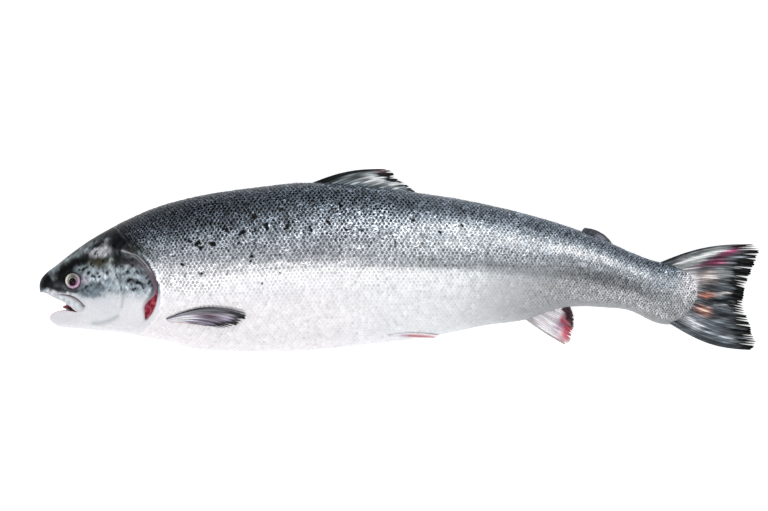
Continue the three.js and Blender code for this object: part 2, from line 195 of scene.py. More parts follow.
def make_piece(name, points, faces, node, material, colours=None, values=None, uvs=None, flip=False):
    """A mesh object from points in the fish's axes, that rides on the body and stands for a CAD node. colours
    and values are attributes with one entry for each point, uvs one pair for each point."""
    mesh = bpy.data.meshes.new(name)
    faces = np.asarray(faces)[:, ::-1] if flip else np.asarray(faces)
    mesh.from_pydata(to_frame(points).tolist(), [], faces.tolist())
    if colours is not None:
        layer = mesh.color_attributes.new("tint", "FLOAT_COLOR", "POINT")
        flat = np.ones((len(mesh.vertices), 4), np.float32)
        flat[:, :3] = np.asarray(colours).reshape(-1, 3)
        layer.data.foreach_set("color", flat.ravel())
    for key, value in (values or {}).items():
        layer = mesh.attributes.new(key, "FLOAT", "POINT")
        layer.data.foreach_set("value", np.asarray(value, np.float32).ravel())
    if uvs is not None:
        corners = np.empty(len(mesh.loops), np.int32)
        mesh.loops.foreach_get("vertex_index", corners)
        layer = mesh.uv_layers.new(name="lay")
        layer.data.foreach_set("uv", np.asarray(uvs, np.float32).reshape(-1, 2)[corners].ravel())
    mesh.polygons.foreach_set("use_smooth", np.ones(len(mesh.polygons), bool))
    mesh.materials.append(material)
    piece = bpy.data.objects.new(name, mesh)
    bpy.context.scene.collection.objects.link(piece)
    if node:
        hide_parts(node)
    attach(piece, "root")
    print(f"{name}: {len(mesh.vertices)} points, {sum(len(p.vertices) - 2 for p in mesh.polygons)} triangles")
    return piece


def new_material(name):
    material = bpy.data.materials.new(name)
    material.use_nodes = True
    shader = material.node_tree.nodes["Principled BSDF"]
    return material, material.node_tree, shader


def add(tree, kind, settings=None, links=None):
    """A node of the given kind. settings are its properties and the values of its sockets, links join its
    inputs to other nodes' outputs."""
    node = tree.nodes.new(kind)
    for key, value in (settings or {}).items():
        if isinstance(key, int) or key in node.inputs:
            node.inputs[key].default_value = value
        else:
            setattr(node, key, value)
    for key, source in (links or {}).items():
        tree.links.new(source, node.inputs[key])
    return node


def spline(points, count):
    """count points at even steps of length along a smooth curve through the given points: the cubic whose
    slope at each point is the slope between its neighbours."""
    points = np.array(points, float)
    u = np.concatenate([[0], np.cumsum(np.linalg.norm(np.diff(points, axis=0), axis=1))])
    slope = np.gradient(points, u, axis=0)
    fine = np.linspace(0, u[-1], 400)
    i = np.clip(np.searchsorted(u, fine, side="right") - 1, 0, len(u) - 2)
    step = (u[i + 1] - u[i])[:, None]
    s = (fine - u[i])[:, None] / step
    curve = (points[i] * (2 * s**3 - 3 * s**2 + 1) + slope[i] * step * (s**3 - 2 * s**2 + s)
             + points[i + 1] * (3 * s**2 - 2 * s**3) + slope[i + 1] * step * (s**3 - s**2))
    far = np.concatenate([[0], np.cumsum(np.linalg.norm(np.diff(curve, axis=0), axis=1))])
    even = np.linspace(0, far[-1], count)
    return np.stack([np.interp(even, far, curve[:, k]) for k in range(curve.shape[1])], -1)


def distance_to(line, x, y):
    """The distance of each point of the side view to a bent line."""
    line = np.array(line, float)
    best = np.full(np.shape(x), 1e9)
    for start, end in zip(line[:-1], line[1:]):
        run = end - start
        t = clamp01(((x - start[0]) * run[0] + (y - start[1]) * run[1]) / (run @ run))
        best = np.minimum(best, np.hypot(x - start[0] - t * run[0], y - start[1] - t * run[1]))
    return best


def wobble(x, y, size, seed):
    """Smooth noise from about -1 to 1 on the side view, with lumps about size across: a sum of fourteen plane
    waves with seeded directions, lengths and phases."""
    rng = np.random.default_rng(seed)
    total = np.zeros(np.shape(x))
    for angle, phase, pitch in zip(rng.uniform(0, np.pi, 14), rng.uniform(0, 6.28, 14),
                                   rng.uniform(0.6, 1.8, 14)):
        total = total + np.sin((x * np.cos(angle) + y * np.sin(angle)) * 6.28 / (size * 1.6 * pitch) + phase)
    return total / 5.3


# %% [markdown]
# ## Camera, light and table
# The fish is seen from straight above, from 2.3 m with a long lens, as a catalogue picture of fish is taken.
# Big soft boxes stand on the back's, the belly's and the head's side, none straight above, so that skin that
# faces the camera mirrors only the dim room and its blacks stay black. The table is a glowing sheet, which
# hides the shadows.

# %% Camera
CAMERA_HEIGHT = 2310
FRAMED_WIDTH = 840                  # what the picture's width covers on the table
AIM = (-20.5, 5.0)                  # the fish lies a little to the right of the picture's middle
camera = bpy.data.objects.new("camera", bpy.data.cameras.new("camera"))
camera.data.sensor_width = 36
camera.data.lens = 36 * CAMERA_HEIGHT / FRAMED_WIDTH
camera.location = (AIM[0] * MM, AIM[1] * MM, CAMERA_HEIGHT * MM)
bpy.context.scene.collection.objects.link(camera)
bpy.context.scene.camera = camera
bpy.context.scene.view_settings.view_transform = "Standard"
print("lens", round(camera.data.lens, 1), "mm")

# %% Light
world = bpy.data.worlds.new("studio")
world.use_nodes = True
world.node_tree.nodes["Background"].inputs["Color"].default_value = rgba("f8f8fb")
world.node_tree.nodes["Background"].inputs["Strength"].default_value = 0.34
bpy.context.scene.world = world


def soft_box(name, place, size, watts, aim=(0, 0, 0)):
    """A square lamp of the given size in metres at place, turned to face aim."""
    light = bpy.data.lights.new(name, "AREA")
    light.shape = "RECTANGLE"
    light.size, light.size_y = size
    light.energy = watts
    lamp = bpy.data.objects.new(name, light)
    lamp.location = place
    direction = Vector(aim) - Vector(place)
    lamp.rotation_euler = direction.to_track_quat("-Z", "Y").to_euler()
    bpy.context.scene.collection.objects.link(lamp)


soft_box("above_back", (0.25, 1.7, 1.7), (2.4, 0.9), 24)
soft_box("above_belly", (-0.25, -1.6, 1.7), (2.2, 0.9), 27)
soft_box("above_head", (-1.9, 0.2, 1.3), (0.8, 1.4), 9)

# %% Table
table, tree, shader = new_material("Opal acrylic, lit from below")
shader.inputs["Roughness"].default_value = 0.6
shader.inputs["Base Color"].default_value = rgba("f8f8f8")
shader.inputs["Emission Color"].default_value = rgba("ffffff")
shader.inputs["Emission Strength"].default_value = 0.55
floor_mesh = bpy.data.meshes.new("table")
floor_mesh.from_pydata([(-6, -6, 0), (6, -6, 0), (6, 6, 0), (-6, 6, 0)], [], [(0, 1, 2, 3)])
floor_mesh.materials.append(table)
floor = bpy.data.objects.new("table", floor_mesh)
floor.location.z = -0.3 * MM
bpy.context.scene.collection.objects.link(floor)

# %% [markdown]
# ## The shape of the body
# A salmon's body is very nearly a stack of ellipses. The back and belly curves give each ellipse its height,
# the width curve its thickness, and the middle curve the height at which the limp body lies. Where it rests
# on the table it is pressed flat. A point of the skin is named by its place along the body and by its turn
# around it: turn 0 faces up, a quarter turn is the ridge of the back and three quarters the ridge of the
# belly.


# %% The body as a function of two parameters
PRESSED = 0.3                       # how deep the skin gives way to the table, rounding the edge of the flat


def centre_at(x):
    return (back_at(x) + belly_at(x)) / 2


def half_at(x):
    return (back_at(x) - belly_at(x)) / 2


def skin_point(x, turn, raised=0.0):
    """The ellipse of the section at x, grown by raised: y is the centre plus the half height times the sine
    of the turn, z is the middle height plus the half width times its cosine, and never under the table."""
    y = centre_at(x) + (half_at(x) + raised) * np.sin(turn)
    z = mid_at(x) + (width_at(x) + raised) * np.cos(turn)
    soft_floor = 0.5 * (z + PRESSED + np.sqrt((z - PRESSED) ** 2 + 0.4)) - PRESSED
    return np.stack(np.broadcast_arrays(x, y, np.maximum(soft_floor, 0.02)), -1)


def over_skin(x, y, side, raised):
    """The height of the side view's point (x, y) on the section grown by raised: side is 1 on the fish's
    left, which faces up, and -1 on its right."""
    reach = 1 - ((y - centre_at(x)) / (half_at(x) + raised)) ** 2
    z = mid_at(x) + side * (width_at(x) + raised) * np.sqrt(np.maximum(reach, 0))
    return np.maximum(z, 0.05)


# %% [markdown]
# ## Colours of the whole fish
# A salmon is countershaded: blue-black on the back, silver on the flank, white on the belly. Its silver is a
# mirror of guanine crystals, so it is painted as a light grey that the wet coat brightens. The tone is a
# formula: the back's dark fades toward the belly, over less depth near the tail, and a few soft bands are
# laid over it: a painted highlight, the sheen, on the upper flank and the tail stalk, a dull band along the
# lateral line and a painted shadow on the tail stalk.

# %% The flank's tones
NECK, TAIL_STALK = 0.15, 0.75       # shares of the length between which the tones change
RIDGE_TONE = [0.16, 0.38]           # the ridge of the back, at the neck and on the tail stalk
BELLY_TONE = [0.94, 0.66]           # the belly, under the ribs and on the tail stalk
PELVIC_FINS, ANAL_FIN = 0.58, 0.78  # shares of the length between which the belly darkens
FADE_END = [0.64, 0.26]             # the depth where the back's dark ends, at the neck and on the tail stalk
TONE_AND_LIGHT_BANDS = [
    # place along, depth, half length, half depth, tone, strength
    # painted highlight: the sheen over the upper flank
    [0.64, 0.27, 0.14, 0.08, 0.84, 0.8],
    # painted highlight: the sheen at its brightest on the tail stalk
    [0.81, 0.30, 0.12, 0.07, 0.92, 0.9],
    [0.38, 0.37, 0.20, 0.11, 0.60, 0.7],
    [0.63, 0.46, 0.15, 0.07, 0.70, 0.85],
    # painted shadow under the lateral line on the tail stalk
    [0.85, 0.58, 0.07, 0.09, 0.42, 0.8],
    [0.98, 0.47, 0.03, 0.16, 0.82, 0.7],
]
COOL = np.array([0.965, 1.0, 1.035])        # the silver's faint blue
BLUSH = np.array([1.008, 0.994, 1.006])     # the belly's faint pink


def depth_share(x, y):
    """0 at the ridge of the back and 1 at the belly."""
    return clamp01((back_at(x) - y) / np.maximum(back_at(x) - belly_at(x), 1))


SILVER_LINE = [[190, 6], [217, 6], [325, 5.5], [442, -0.5], [517, -8], [570, -14]]


def body_grey(x, y):
    """The tone at a point of the side view: an ease from the ridge's tone to the belly's, then the bands of
    tone, painted highlight and painted shadow, each mixed in by a flat-topped bell, then a step at the line
    where the dark flank meets the silver."""
    share = depth_share(x, y)
    place = x / LENGTH
    rear = ease((place - NECK) / (TAIL_STALK - NECK))
    ridge = between(RIDGE_TONE, rear)
    belly = between(BELLY_TONE, ease((place - PELVIC_FINS) / (ANAL_FIN - PELVIC_FINS)))
    fade_end = between(FADE_END, rear)
    grey = ridge + (belly - ridge) * ease((share - 0.05) / (fade_end - 0.05))
    for along, deep, half_length, half_depth, tone, strength in TONE_AND_LIGHT_BANDS:
        away = ((place - along) / half_length) ** 2 + ((share - deep) / half_depth) ** 2
        grey = grey + (tone - grey) * strength * np.exp(-away**1.5)
    line = np.array(SILVER_LINE, float)
    below = np.interp(x, line[:, 0], line[:, 1]) + 0.8 * wobble(x, y, 14, 5) - y
    near = ease((x - 150) / 60) * ease((600 - x) / 80) * np.exp(-(below / 22) ** 2)
    return grey * (1 + 0.075 * near * np.tanh(below / 1.3))


BODY_SPOTS = [
    # along, up, size
    [234, 54, 1.0], [204, 39, 0.9], [223, 37, 1.0], [234, 40, 0.9], [246, 44, 1.0], [268, 44, 1.1],
    [293, 42, 1.0], [286, 37, 0.7], [312, 48, 0.8], [163, 30, 0.9], [174, 24, 1.1], [192, 26, 1.1],
    [231, 9, 0.9], [330, 41, 0.7], [324, 66, 0.8], [178, -7, 0.6], [206, -6, 0.5], [261, -7, 0.6],
    [242, -16, 0.6], [207, 18, 0.6], [159, 3, 0.7], [348, 39, 0.6], [382, 27, 0.6], [402, 50, 0.7],
    [430, 38, 0.7], [455, 45, 0.6], [150, 12, 0.6], [262, 62, 0.7], [187, 47, 0.6], [217, 27, 0.6],
]
HEAD_SPOTS = [
    # along, up, size
    [64, 16.2, 0.9], [49, -2.5, 1.2], [57, -5.6, 1.2], [62, -9, 1.1], [67.6, -9.6, 1.0], [66.4, -6.4, 0.8],
    [122, -16.4, 1.2], [107.4, -22.6, 1.0], [99.5, -4.5, 0.9], [131, -13, 0.8], [44, 3.5, 1.2],
    [59, 4.5, 0.8],
]


def spot_cover(x, y, spots, radius, seed, fade=1.2):
    """How much of a point the black spots cover, from 0 to 1, fading over fade millimetres. Each spot is
    three dots that run together."""
    rng = np.random.default_rng(seed)
    cover = np.zeros(np.shape(x))
    for along, up, size in spots:
        for k in range(3):
            dot_x, dot_y = np.array([along, up]) + rng.normal(0, 0.6 * size * radius, 2)
            away = np.hypot(x - dot_x, y - dot_y) - size * radius * rng.uniform(0.55, 0.85)
            cover = np.maximum(cover, 1 - clamp01(away / fade + 0.5))
    return cover


def body_paint(x, y):
    """The colour of the trunk's skin and scales, linear: the flank's grey with soft mottling, cooled to blue
    where it is dark."""
    share = depth_share(x, y)
    mottle = 0.04 * wobble(x, y, 26, 3) + 0.04 * wobble(x, y, 9, 4)
    grey = body_grey(x, y) * (1 + mottle * (0.15 + 0.85 * ease((0.6 - share) / 0.2)))
    depth = np.maximum(4.2 - 5.6 * share, 0.0) * np.maximum(1.1 - grey, 0.1)
    blush = share * ease((0.6 - x / LENGTH) / 0.2)
    cool = COOL ** (depth + 0.35 * (share - blush))[..., None] * BLUSH ** blush[..., None]
    colour = to_linear(clamp01(grey)[..., None] * cool)
    return mixed(colour, "e2e0e4", 0.85 * ease((x - 686) / 16) * np.exp(-((y + 17) / 15) ** 2))


print("bands", len(TONE_AND_LIGHT_BANDS), "spots", len(BODY_SPOTS))

# %% [markdown]
# ## Colours of the head
# The head has no scales, so its patches show plainly: a black snout and brow, a slate sheen on the forehead
# that is a painted highlight, olive and pale patches on the crown, silver-blue cheeks and a pale lilac jaw.
# It is painted as a gradient from the crown to the throat, with soft blobs over it in order, as an airbrush
# would lay them.

# %% The head's patches
HEAD_HEIGHTS = [-75, -58, -40, -30, -22, -8, 4, 16, 30, 60]
HEAD_BASE = ["e9e8ec", "e2e2e6", "dcdde2", "c9cfd4", "98a3ab", "a3aeb6", "70797c", "4a5052", "22272a",
             "141719"]
HEAD_PATCHES = [
    # along, up, half length, half height, turn, colour, strength
    # painted highlight: the slate sheen along the forehead
    [42, 14.5, 27, 4.6, 31, "757e82", 0.9],
    [38, 19, 36, 3.4, 33, "24292c", 0.88],
    [9, -13, 10, 11, 50, "1a1c1f", 0.97],
    [12.5, -16, 6, 9, 10, "050506", 0.97],
    [26, -9, 9, 9.5, 20, "050607", 0.99],
    [38, 3, 19, 6.8, 32, "050607", 0.99],
    [55, 10.5, 13, 4.4, 22, "08090a", 0.97],
    [30, -4, 12, 7.5, 35, "050607", 0.98],
    [25, -15, 10, 8, 0, "08090a", 0.92],
    [40, -13, 12.5, 12, 0, "060708", 0.97],
    [22, -22.3, 13, 3.4, -8, "060708", 0.97],
    [41, -24.6, 14, 2.4, 3, "241c22", 0.9],
    [8, -14, 6, 8, 20, "08080a", 0.9],
    [4.5, -20, 5.5, 5, 0, "0a0a0c", 0.93],
    [17.5, -12, 2.6, 3.2, 60, "5e6264", 0.85],
    [52.5, -13, 3.4, 5.5, 10, "b8a9bc", 0.7],
    [46, -3, 5, 2.5, -30, "6d7c84", 0.7],
    [60, -26, 13, 6.0, -12, "62707a", 0.85],
    [52, -29, 6, 3.4, -20, "47555b", 0.8],
    [77, -19, 5, 4, 0, "84929b", 0.7],
    [70, -8, 7, 6, 0, "b4bec6", 0.6],
    [68, 6, 12, 6.5, 5, "34311f", 0.96],
    [70, 17, 14, 5.2, 14, "b4b5ba", 0.92],
    [75, 27, 7, 4.2, 25, "8a8c94", 0.8],
    [65, 25.5, 9, 3.2, 32, "0e1012", 0.92],
    [80.5, 4.5, 2.4, 4.5, 0, "b3bab9", 0.8],
    [89, 9, 9, 7.2, 10, "0e120e", 0.97],
    [102, 6.5, 11, 6.5, 0, "201c21", 0.92],
    [87, 27, 10, 9, 25, "0b0c0d", 0.95],
    [100, 21, 7, 3.4, -15, "2c2a20", 0.85],
    [104, 34, 24, 12, 30, "15181b", 0.85],
    [104, -10, 13, 7, -10, "a9b3ba", 0.7],
    [114, -4, 7, 4.5, 0, "626b75", 0.75],
    [98, -5, 7, 2.2, 15, "6f7a82", 0.7],
    [126, -12, 5, 12, 20, "665d67", 0.8],
    [113, -22, 12, 5, -10, "97a3aa", 0.7],
    [104, -46, 22, 14, 0, "e4e4e8", 0.9],
    [78, -42, 14, 9, -10, "d6d8dd", 0.8],
    [26, -53, 24, 8, 5, "d9d7dc", 0.8],
    [17, -27.2, 9, 1.1, -6, "ded6dc", 0.9],
    [66, -20, 9, 4.5, -20, "4a555b", 0.8],
    [104, -14, 8, 4, -10, "333a3f", 0.7],
    [114, -17, 6.5, 3, -15, "383e44", 0.7],
    [97, -6, 7, 2.6, 10, "454e54", 0.75],
    [119, -9, 6, 4.5, 30, "5a6068", 0.7],
    [110, 3, 12, 4.0, -14, "4c474e", 0.8],
    [91, -11, 2.6, 7, 10, "59636a", 0.6],
    [98, 1, 7, 1.6, -15, "9aa0a6", 0.7],
    [102.3, -13.4, 5, 1.9, -8, "040506", 0.98],
    [112, -16.3, 4, 1.9, -18, "040506", 0.98],
    [76.8, -5, 1.9, 3.2, 0, "040506", 0.98],
    [53.8, -21.4, 3.2, 2.0, 0, "040506", 0.98],
    [54.3, 1, 2.6, 2.0, 20, "040506", 0.98],
]
STREAK = [[60, -59.6], [70, -58.8], [79, -56], [87.5, -51.8]]
COVER_TOP_LINE = [[93, 18.2], [103, 14.6], [112, 8.5], [119, 0], [125, -10], [129, -20]]
PREOPERCLE = [[79.5, 2], [84.5, -7], [88, -14], [90.5, -22], [91.5, -31], [89.5, -42]]


def head_paint(x, y):
    """The colour of the head's skin, linear: the height's base colour, then each patch mixed in by a bell
    with a flat top that falls off with the distance from its middle, then mottling, the pale lines and the
    spots."""
    shift = 3.0 * wobble(x, y, 12, 21)
    base = np.array([linear(code) for code in HEAD_BASE])
    colour = np.stack([np.interp(y + shift, HEAD_HEIGHTS, base[:, k]) for k in range(3)], -1)
    warp_x = x + 1.2 * wobble(x, y, 7, 22) + 0.6 * wobble(x, y, 3, 26)
    warp_y = y + 1.2 * wobble(x, y, 7, 23) + 0.6 * wobble(x, y, 3, 27)
    colour = airbrush(colour, warp_x, warp_y, HEAD_PATCHES, 2)
    blotch = 0.5 * wobble(x, y, 5, 24) + 0.45 * wobble(x, y, 2.6, 25) + 0.3 * wobble(x, y, 1.6, 28)
    depth = 0.02 + 0.75 * ease((y + 34) / 12)
    colour = colour * np.exp(depth * blotch)[..., None]
    smudge = ease((wobble(x, y, 4.5, 29) + 0.5 * wobble(x, y, 2.2, 30) - 0.55) / 0.5) * ease((y + 34) / 10)
    colour = colour * (1 - 0.8 * (smudge * ease((x - 46) / 10))[..., None])
    for line, wide, code, strength in ((np.array(PREOPERCLE) + [3.0, 0], 1.8, "5b646a", 0.28),
                                       (PREOPERCLE, 0.9, "dfe2e7", 0.45), (STREAK, 2.2, "8a939a", 0.45),
                                       (COVER_TOP_LINE, 0.75, "d5d3d3", 0.75)):
        colour = mixed(colour, code, strength * np.exp(-(distance_to(line, x, y) / wide) ** 2))
    return clamp01(mixed(colour, "060708", spot_cover(x, y, HEAD_SPOTS, 1.7, 12)))


SCALE_EDGE = [[80, 52], [88, 38], [99, 27], [112, 18], [124, 8], [132, -4], [137, -22], [136, -42],
              [128, -58], [112, -72], [100, -80]]


def scale_edge(y):
    """Where the scales begin, behind the nape, the gill cover and the throat."""
    places = np.array(SCALE_EDGE, float)[::-1]
    return np.interp(y, places[:, 1], places[:, 0])


def fish_paint(x, y):
    """The head's colours in front of the first scales and the body's behind them, blended over a few
    millimetres."""
    share = ease((x - scale_edge(y) + 4) / 9)[..., None]
    return head_paint(x, y) * (1 - share) + body_paint(x, y) * share


print("head patches", len(HEAD_PATCHES))

# %% [markdown]
# ## Wet skin
# Fresh salmon skin is covered with clear mucus: under it lie pigment cells and mirror-like guanine. A
# principled shader with a little metal in it gives the silver, low roughness gives the gloss, and a thin
# clear coat is the mucus. Colour comes from the painted attribute, broken up by fine speckle of about half a
# millimetre.


# %% Wet skin
def painted_skin(name, metal, rough, coat, speckle, bump_height):
    """Skin coloured by the tint of its points, darkened and lightened by fine speckle, with a faint bump."""
    material, tree, shader = new_material(name)
    place = add(tree, "ShaderNodeTexCoord")
    tint = add(tree, "ShaderNodeAttribute", {"attribute_name": "tint"})
    grain = add(tree, "ShaderNodeTexNoise", {"Scale": 1 / (1.6 * MM), "Detail": 3.0, "Roughness": 0.6},
                {"Vector": place.outputs["Object"]})
    level = add(tree, "ShaderNodeMapRange", {"From Min": 0.3, "From Max": 0.7, "To Min": 1 - speckle,
                                             "To Max": 1 + speckle}, {"Value": grain.outputs["Fac"]})
    colour = add(tree, "ShaderNodeVectorMath", {"operation": "SCALE"},
                 {0: tint.outputs["Color"], "Scale": level.outputs["Result"]})
    tree.links.new(colour.outputs["Vector"], shader.inputs["Base Color"])
    bump = add(tree, "ShaderNodeBump", {"Strength": 0.5, "Distance": bump_height * MM},
               {"Height": grain.outputs["Fac"]})
    tree.links.new(bump.outputs["Normal"], shader.inputs["Normal"])
    shader.inputs["Metallic"].default_value = metal
    shader.inputs["Roughness"].default_value = rough
    shader.inputs["IOR"].default_value = 1.36
    shader.inputs["Specular IOR Level"].default_value = 0.1
    shader.inputs["Coat Weight"].default_value = coat
    shader.inputs["Coat IOR"].default_value = 1.34
    shader.inputs["Coat Roughness"].default_value = 0.08
    return material


head_skin = painted_skin("Salmon skin, scaleless and wet", 0.02, 0.3, 0.06, 0.09, 0.1)
mouth_lining, tree, shader = new_material("Mouth lining, wet membrane")
folds = add(tree, "ShaderNodeTexNoise", {"Scale": 1 / (3 * MM), "Detail": 4.0},
            {"Vector": add(tree, "ShaderNodeTexCoord").outputs["Object"]})
lining = add(tree, "ShaderNodeValToRGB", links={"Fac": folds.outputs["Fac"]})
lining.color_ramp.elements[0].color = rgba("4a141f")
lining.color_ramp.elements[1].color = rgba("a04a5a")
tree.links.new(lining.outputs["Color"], shader.inputs["Base Color"])
shader.inputs["Roughness"].default_value = 0.3
shader.inputs["Subsurface Weight"].default_value = 0.2
shader.inputs["Subsurface Scale"].default_value = 2 * MM
print("skin materials", head_skin.name, "|", mouth_lining.name)

# %% [markdown]
# ## The skin
# The skin is one closed loft: rings close together over the head, where there is relief to show, and wider
# apart on the trunk, where scales cover it. The relief is pushed in or out along the section: eye sockets,
# nostrils, the deep slit behind each gill cover, the groove under the jaw. The open mouth is then cut out
# with a Boolean, whose cutter leaves its dark red lining on the cut.

# %% Places on the head
EYE = [39.2, -14.0]
EYE_RADIUS = 9.2
NOSTRILS = [[15.5, -12.5], [18.5, -10.5]]
SLIT = [[131, -22], [122.5, -31], [116.5, -41], [113, -53], [118.5, -57.5], [125.5, -49.5], [129.8, -41],
        [132, -31], [132.5, -23]]
JAW_GROOVE = [[44, -52], [58, -58.5], [80, -64], [100, -66]]
THROAT_GROOVE = [[60, -64.5], [84, -69.5], [108, -73.5]]
CHEEK_GROOVE = [[56, -37], [63, -33], [74, -35], [84, -43]]


def inside_depth(line, x, y):
    """How far inside a closed outline each point lies, and 0 outside it. A point is inside when a line drawn
    from it crosses the outline an odd number of times."""
    line = np.array(line, float)
    ends = np.roll(line, -1, axis=0)
    crossed = np.zeros(np.shape(x), bool)
    for start, end in zip(line, ends):
        spans = (start[1] > y) != (end[1] > y)
        run = end[1] - start[1] if end[1] != start[1] else 1e-9
        crossed ^= spans & (x < start[0] + (y - start[1]) / run * (end[0] - start[0]))
    return distance_to(np.vstack([line, line[:1]]), x, y) * crossed


def relief(x, y):
    """How far the skin stands out at a point of the side view, in millimetres: grooves are bells pushed in,
    the socket and the slit flat-bottomed pits with sloping walls, the lid and the brow bells pushed out."""
    def groove(line, deep, wide):
        return -deep * np.exp(-(distance_to(line, x, y) / wide) ** 2)

    far = np.hypot(x - EYE[0], (y - EYE[1]) * 1.03)
    socket = -4.5 * (1 - ease((far - EYE_RADIUS + 1.6) / 2.2))
    lid = 0.8 * np.exp(-((far - EYE_RADIUS - 2.0) / 1.4) ** 2)
    raised = socket + lid - 6.5 * ease(inside_depth(SLIT, x, y) / 2.6)
    for nostril in NOSTRILS:
        raised = raised - 1.3 * np.exp(-(np.hypot(x - nostril[0], y - nostril[1]) / 1.1) ** 2)
    raised = raised + groove(JAW_GROOVE, 1.3, 1.6) + groove(THROAT_GROOVE, 0.8, 1.5)
    bare = ease((scale_edge(y) - 3 - x) / 20)
    raised = raised + groove(CHEEK_GROOVE, 0.6, 1.8) + 0.5 * wobble(x, y, 16, 31) * bare
    return raised + 0.16 * wobble(x, y, 5, 32) * bare


# %% The skin's loft
HEAD_STEP = 0.9
TRUNK_STEP = 3.4
AROUND = 256
round_nose = 9 * (1 - np.cos(np.linspace(0.03, 1, 14) * np.pi / 2))
ring_places = np.concatenate([round_nose, np.arange(round_nose[-1] + HEAD_STEP, 146, HEAD_STEP),
                              np.linspace(147, 705, int(560 / TRUNK_STEP)),
                              LENGTH - 14 * (1 - np.sin(np.linspace(0.08, 0.995, 14) * np.pi / 2))])
turns = np.linspace(0, 2 * np.pi, AROUND, endpoint=False)
ring_x, ring_turn = np.meshgrid(ring_places, turns, indexing="ij")
flat = skin_point(ring_x, ring_turn)
facing = np.abs(np.cos(ring_turn)) ** 0.5
skin_points = skin_point(ring_x, ring_turn, relief(flat[..., 0], flat[..., 1]) * facing)
snout_tip = [[0, float(centre_at(0.0)), float(mid_at(0.0))]]
tail_tip = [[LENGTH, float(centre_at(LENGTH)), float(mid_at(LENGTH))]]
all_points = np.concatenate([skin_points.reshape(-1, 3), snout_tip, tail_tip])
quads = grid_quads(len(ring_places), AROUND, around=True).tolist()
last = len(all_points) - 1
first_ring = np.arange(AROUND)
final_ring = first_ring + (len(ring_places) - 1) * AROUND
fans = np.stack([np.full(AROUND, last - 1), np.roll(first_ring, -1), first_ring], -1).tolist()
fans += np.stack([np.full(AROUND, last), final_ring, np.roll(final_ring, -1)], -1).tolist()
skin_mesh = bpy.data.meshes.new("salmon_skin")
skin_mesh.from_pydata(to_frame(all_points).tolist(), [], quads + fans)
skin_mesh.materials.append(head_skin)
skin = bpy.data.objects.new("salmon_skin", skin_mesh)
bpy.context.scene.collection.objects.link(skin)
volume = bmesh.new()
volume.from_mesh(skin_mesh)
print("skin rings", len(ring_places), "volume", round(volume.calc_volume() * 1e6), "ml")
volume.free()

# %% The mouth, cut out
MOUTH = [[-6, -27.5], [7.9, -27.2], [18, -32.2], [28, -36.2], [36, -40.5], [42, -45.0], [43.9, -46.9],
         [36, -46.4], [30.2, -45.6], [19.5, -47.0], [13, -51.5], [10.4, -57.5], [9, -66], [-6, -66]]


def mouth_floor(x):
    """How deep the mouth is cut below the upper side: right through at the lips, and ending in a cheek at the
    corner."""
    return -4 + 40 * ease((x - 17) / 16)


rim = spline(MOUTH + MOUTH[:1], 120)[:-1]
deep = mouth_floor(rim[:, 0])
cutter_points = np.concatenate([np.column_stack([rim, deep]),
                                np.column_stack([rim, np.full(len(rim), 100.0)])])
count = len(rim)
ring = np.arange(count)
sides = np.stack([ring, np.roll(ring, -1), np.roll(ring, -1) + count, ring + count], -1).tolist()
cutter_mesh = bpy.data.meshes.new("mouth_cutter")
cutter_mesh.from_pydata(to_frame(cutter_points).tolist(), [],
                        sides + [ring[::-1].tolist(), (ring + count).tolist()])
cutter_mesh.materials.append(mouth_lining)
shape = bmesh.new()
shape.from_mesh(cutter_mesh)
bmesh.ops.triangulate(shape, faces=[f for f in shape.faces if len(f.verts) > 4])
bmesh.ops.recalc_face_normals(shape, faces=shape.faces[:])
shape.to_mesh(cutter_mesh)
shape.free()
cutter = bpy.data.objects.new("mouth_cutter", cutter_mesh)
bpy.context.scene.collection.objects.link(cutter)
cut = skin.modifiers.new("mouth", "BOOLEAN")
cut.object = cutter
cut.operation = "DIFFERENCE"
cut.solver = "EXACT"
cut.material_mode = "TRANSFER"
bpy.context.view_layer.update()
opened = bpy.data.meshes.new_from_object(skin.evaluated_get(bpy.context.evaluated_depsgraph_get()))
skin.modifiers.clear()
skin.data = opened
bpy.data.objects.remove(cutter)
bpy.data.meshes.remove(skin_mesh)
print("skin after the cut", len(opened.vertices), [m.name for m in opened.materials])

# %% The skin's paint
SHADED_SLIT = "5c1220"
flat_points = np.empty(len(opened.vertices) * 3, np.float32)
opened.vertices.foreach_get("co", flat_points)
place = flat_points.reshape(-1, 3).astype(float) / MM - [SNOUT, AXIS, 0]
paint = fish_paint(place[:, 0], place[:, 1])
paint = mixed(paint, SHADED_SLIT, ease(inside_depth(SLIT, place[:, 0], place[:, 1]) / 2))
LIP = [[9, -58], [10.5, -54], [13.5, -49.5], [20, -45.6], [30, -44.2], [40, -45.5]]
paint = mixed(paint, "d9b3c2", 0.75 * np.exp(-(distance_to(LIP, place[:, 0], place[:, 1]) / 2.0) ** 2))
tint = opened.color_attributes.new("tint", "FLOAT_COLOR", "POINT")
tint.data.foreach_set("color", np.column_stack([paint, np.ones(len(paint))]).astype(np.float32).ravel())
opened.polygons.foreach_set("use_smooth", np.ones(len(opened.polygons), bool))
opened.set_sharp_from_angle(angle=np.radians(42))
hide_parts("body")
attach(skin, "root")
print("skin painted", paint.min().round(3), paint.max().round(3))

# %% [markdown]
# ## Scales
# About a hundred and fifty scales lie along the lateral line, in rows three and a half millimetres apart,
# each row shifted by half a scale. Only the rear of each shows. Every scale here is a small bent plate of
# sixteen quads that follows the skin, sunk at its front and lifted at its rear, where its rim turns down, so
# that the light picks out the edges. Rows follow the length of skin measured around the body from the lateral
# line, as they do on the fish.

# %% The rows' lattice
SCALE_PITCH = 4.5
ROW_GAP = 3.45
SCALE_LENGTH = 7.3
SCALE_HALF_WIDTH = 3.6
SCALE_LIFT = 0.38
LAST_SCALE = 713.0


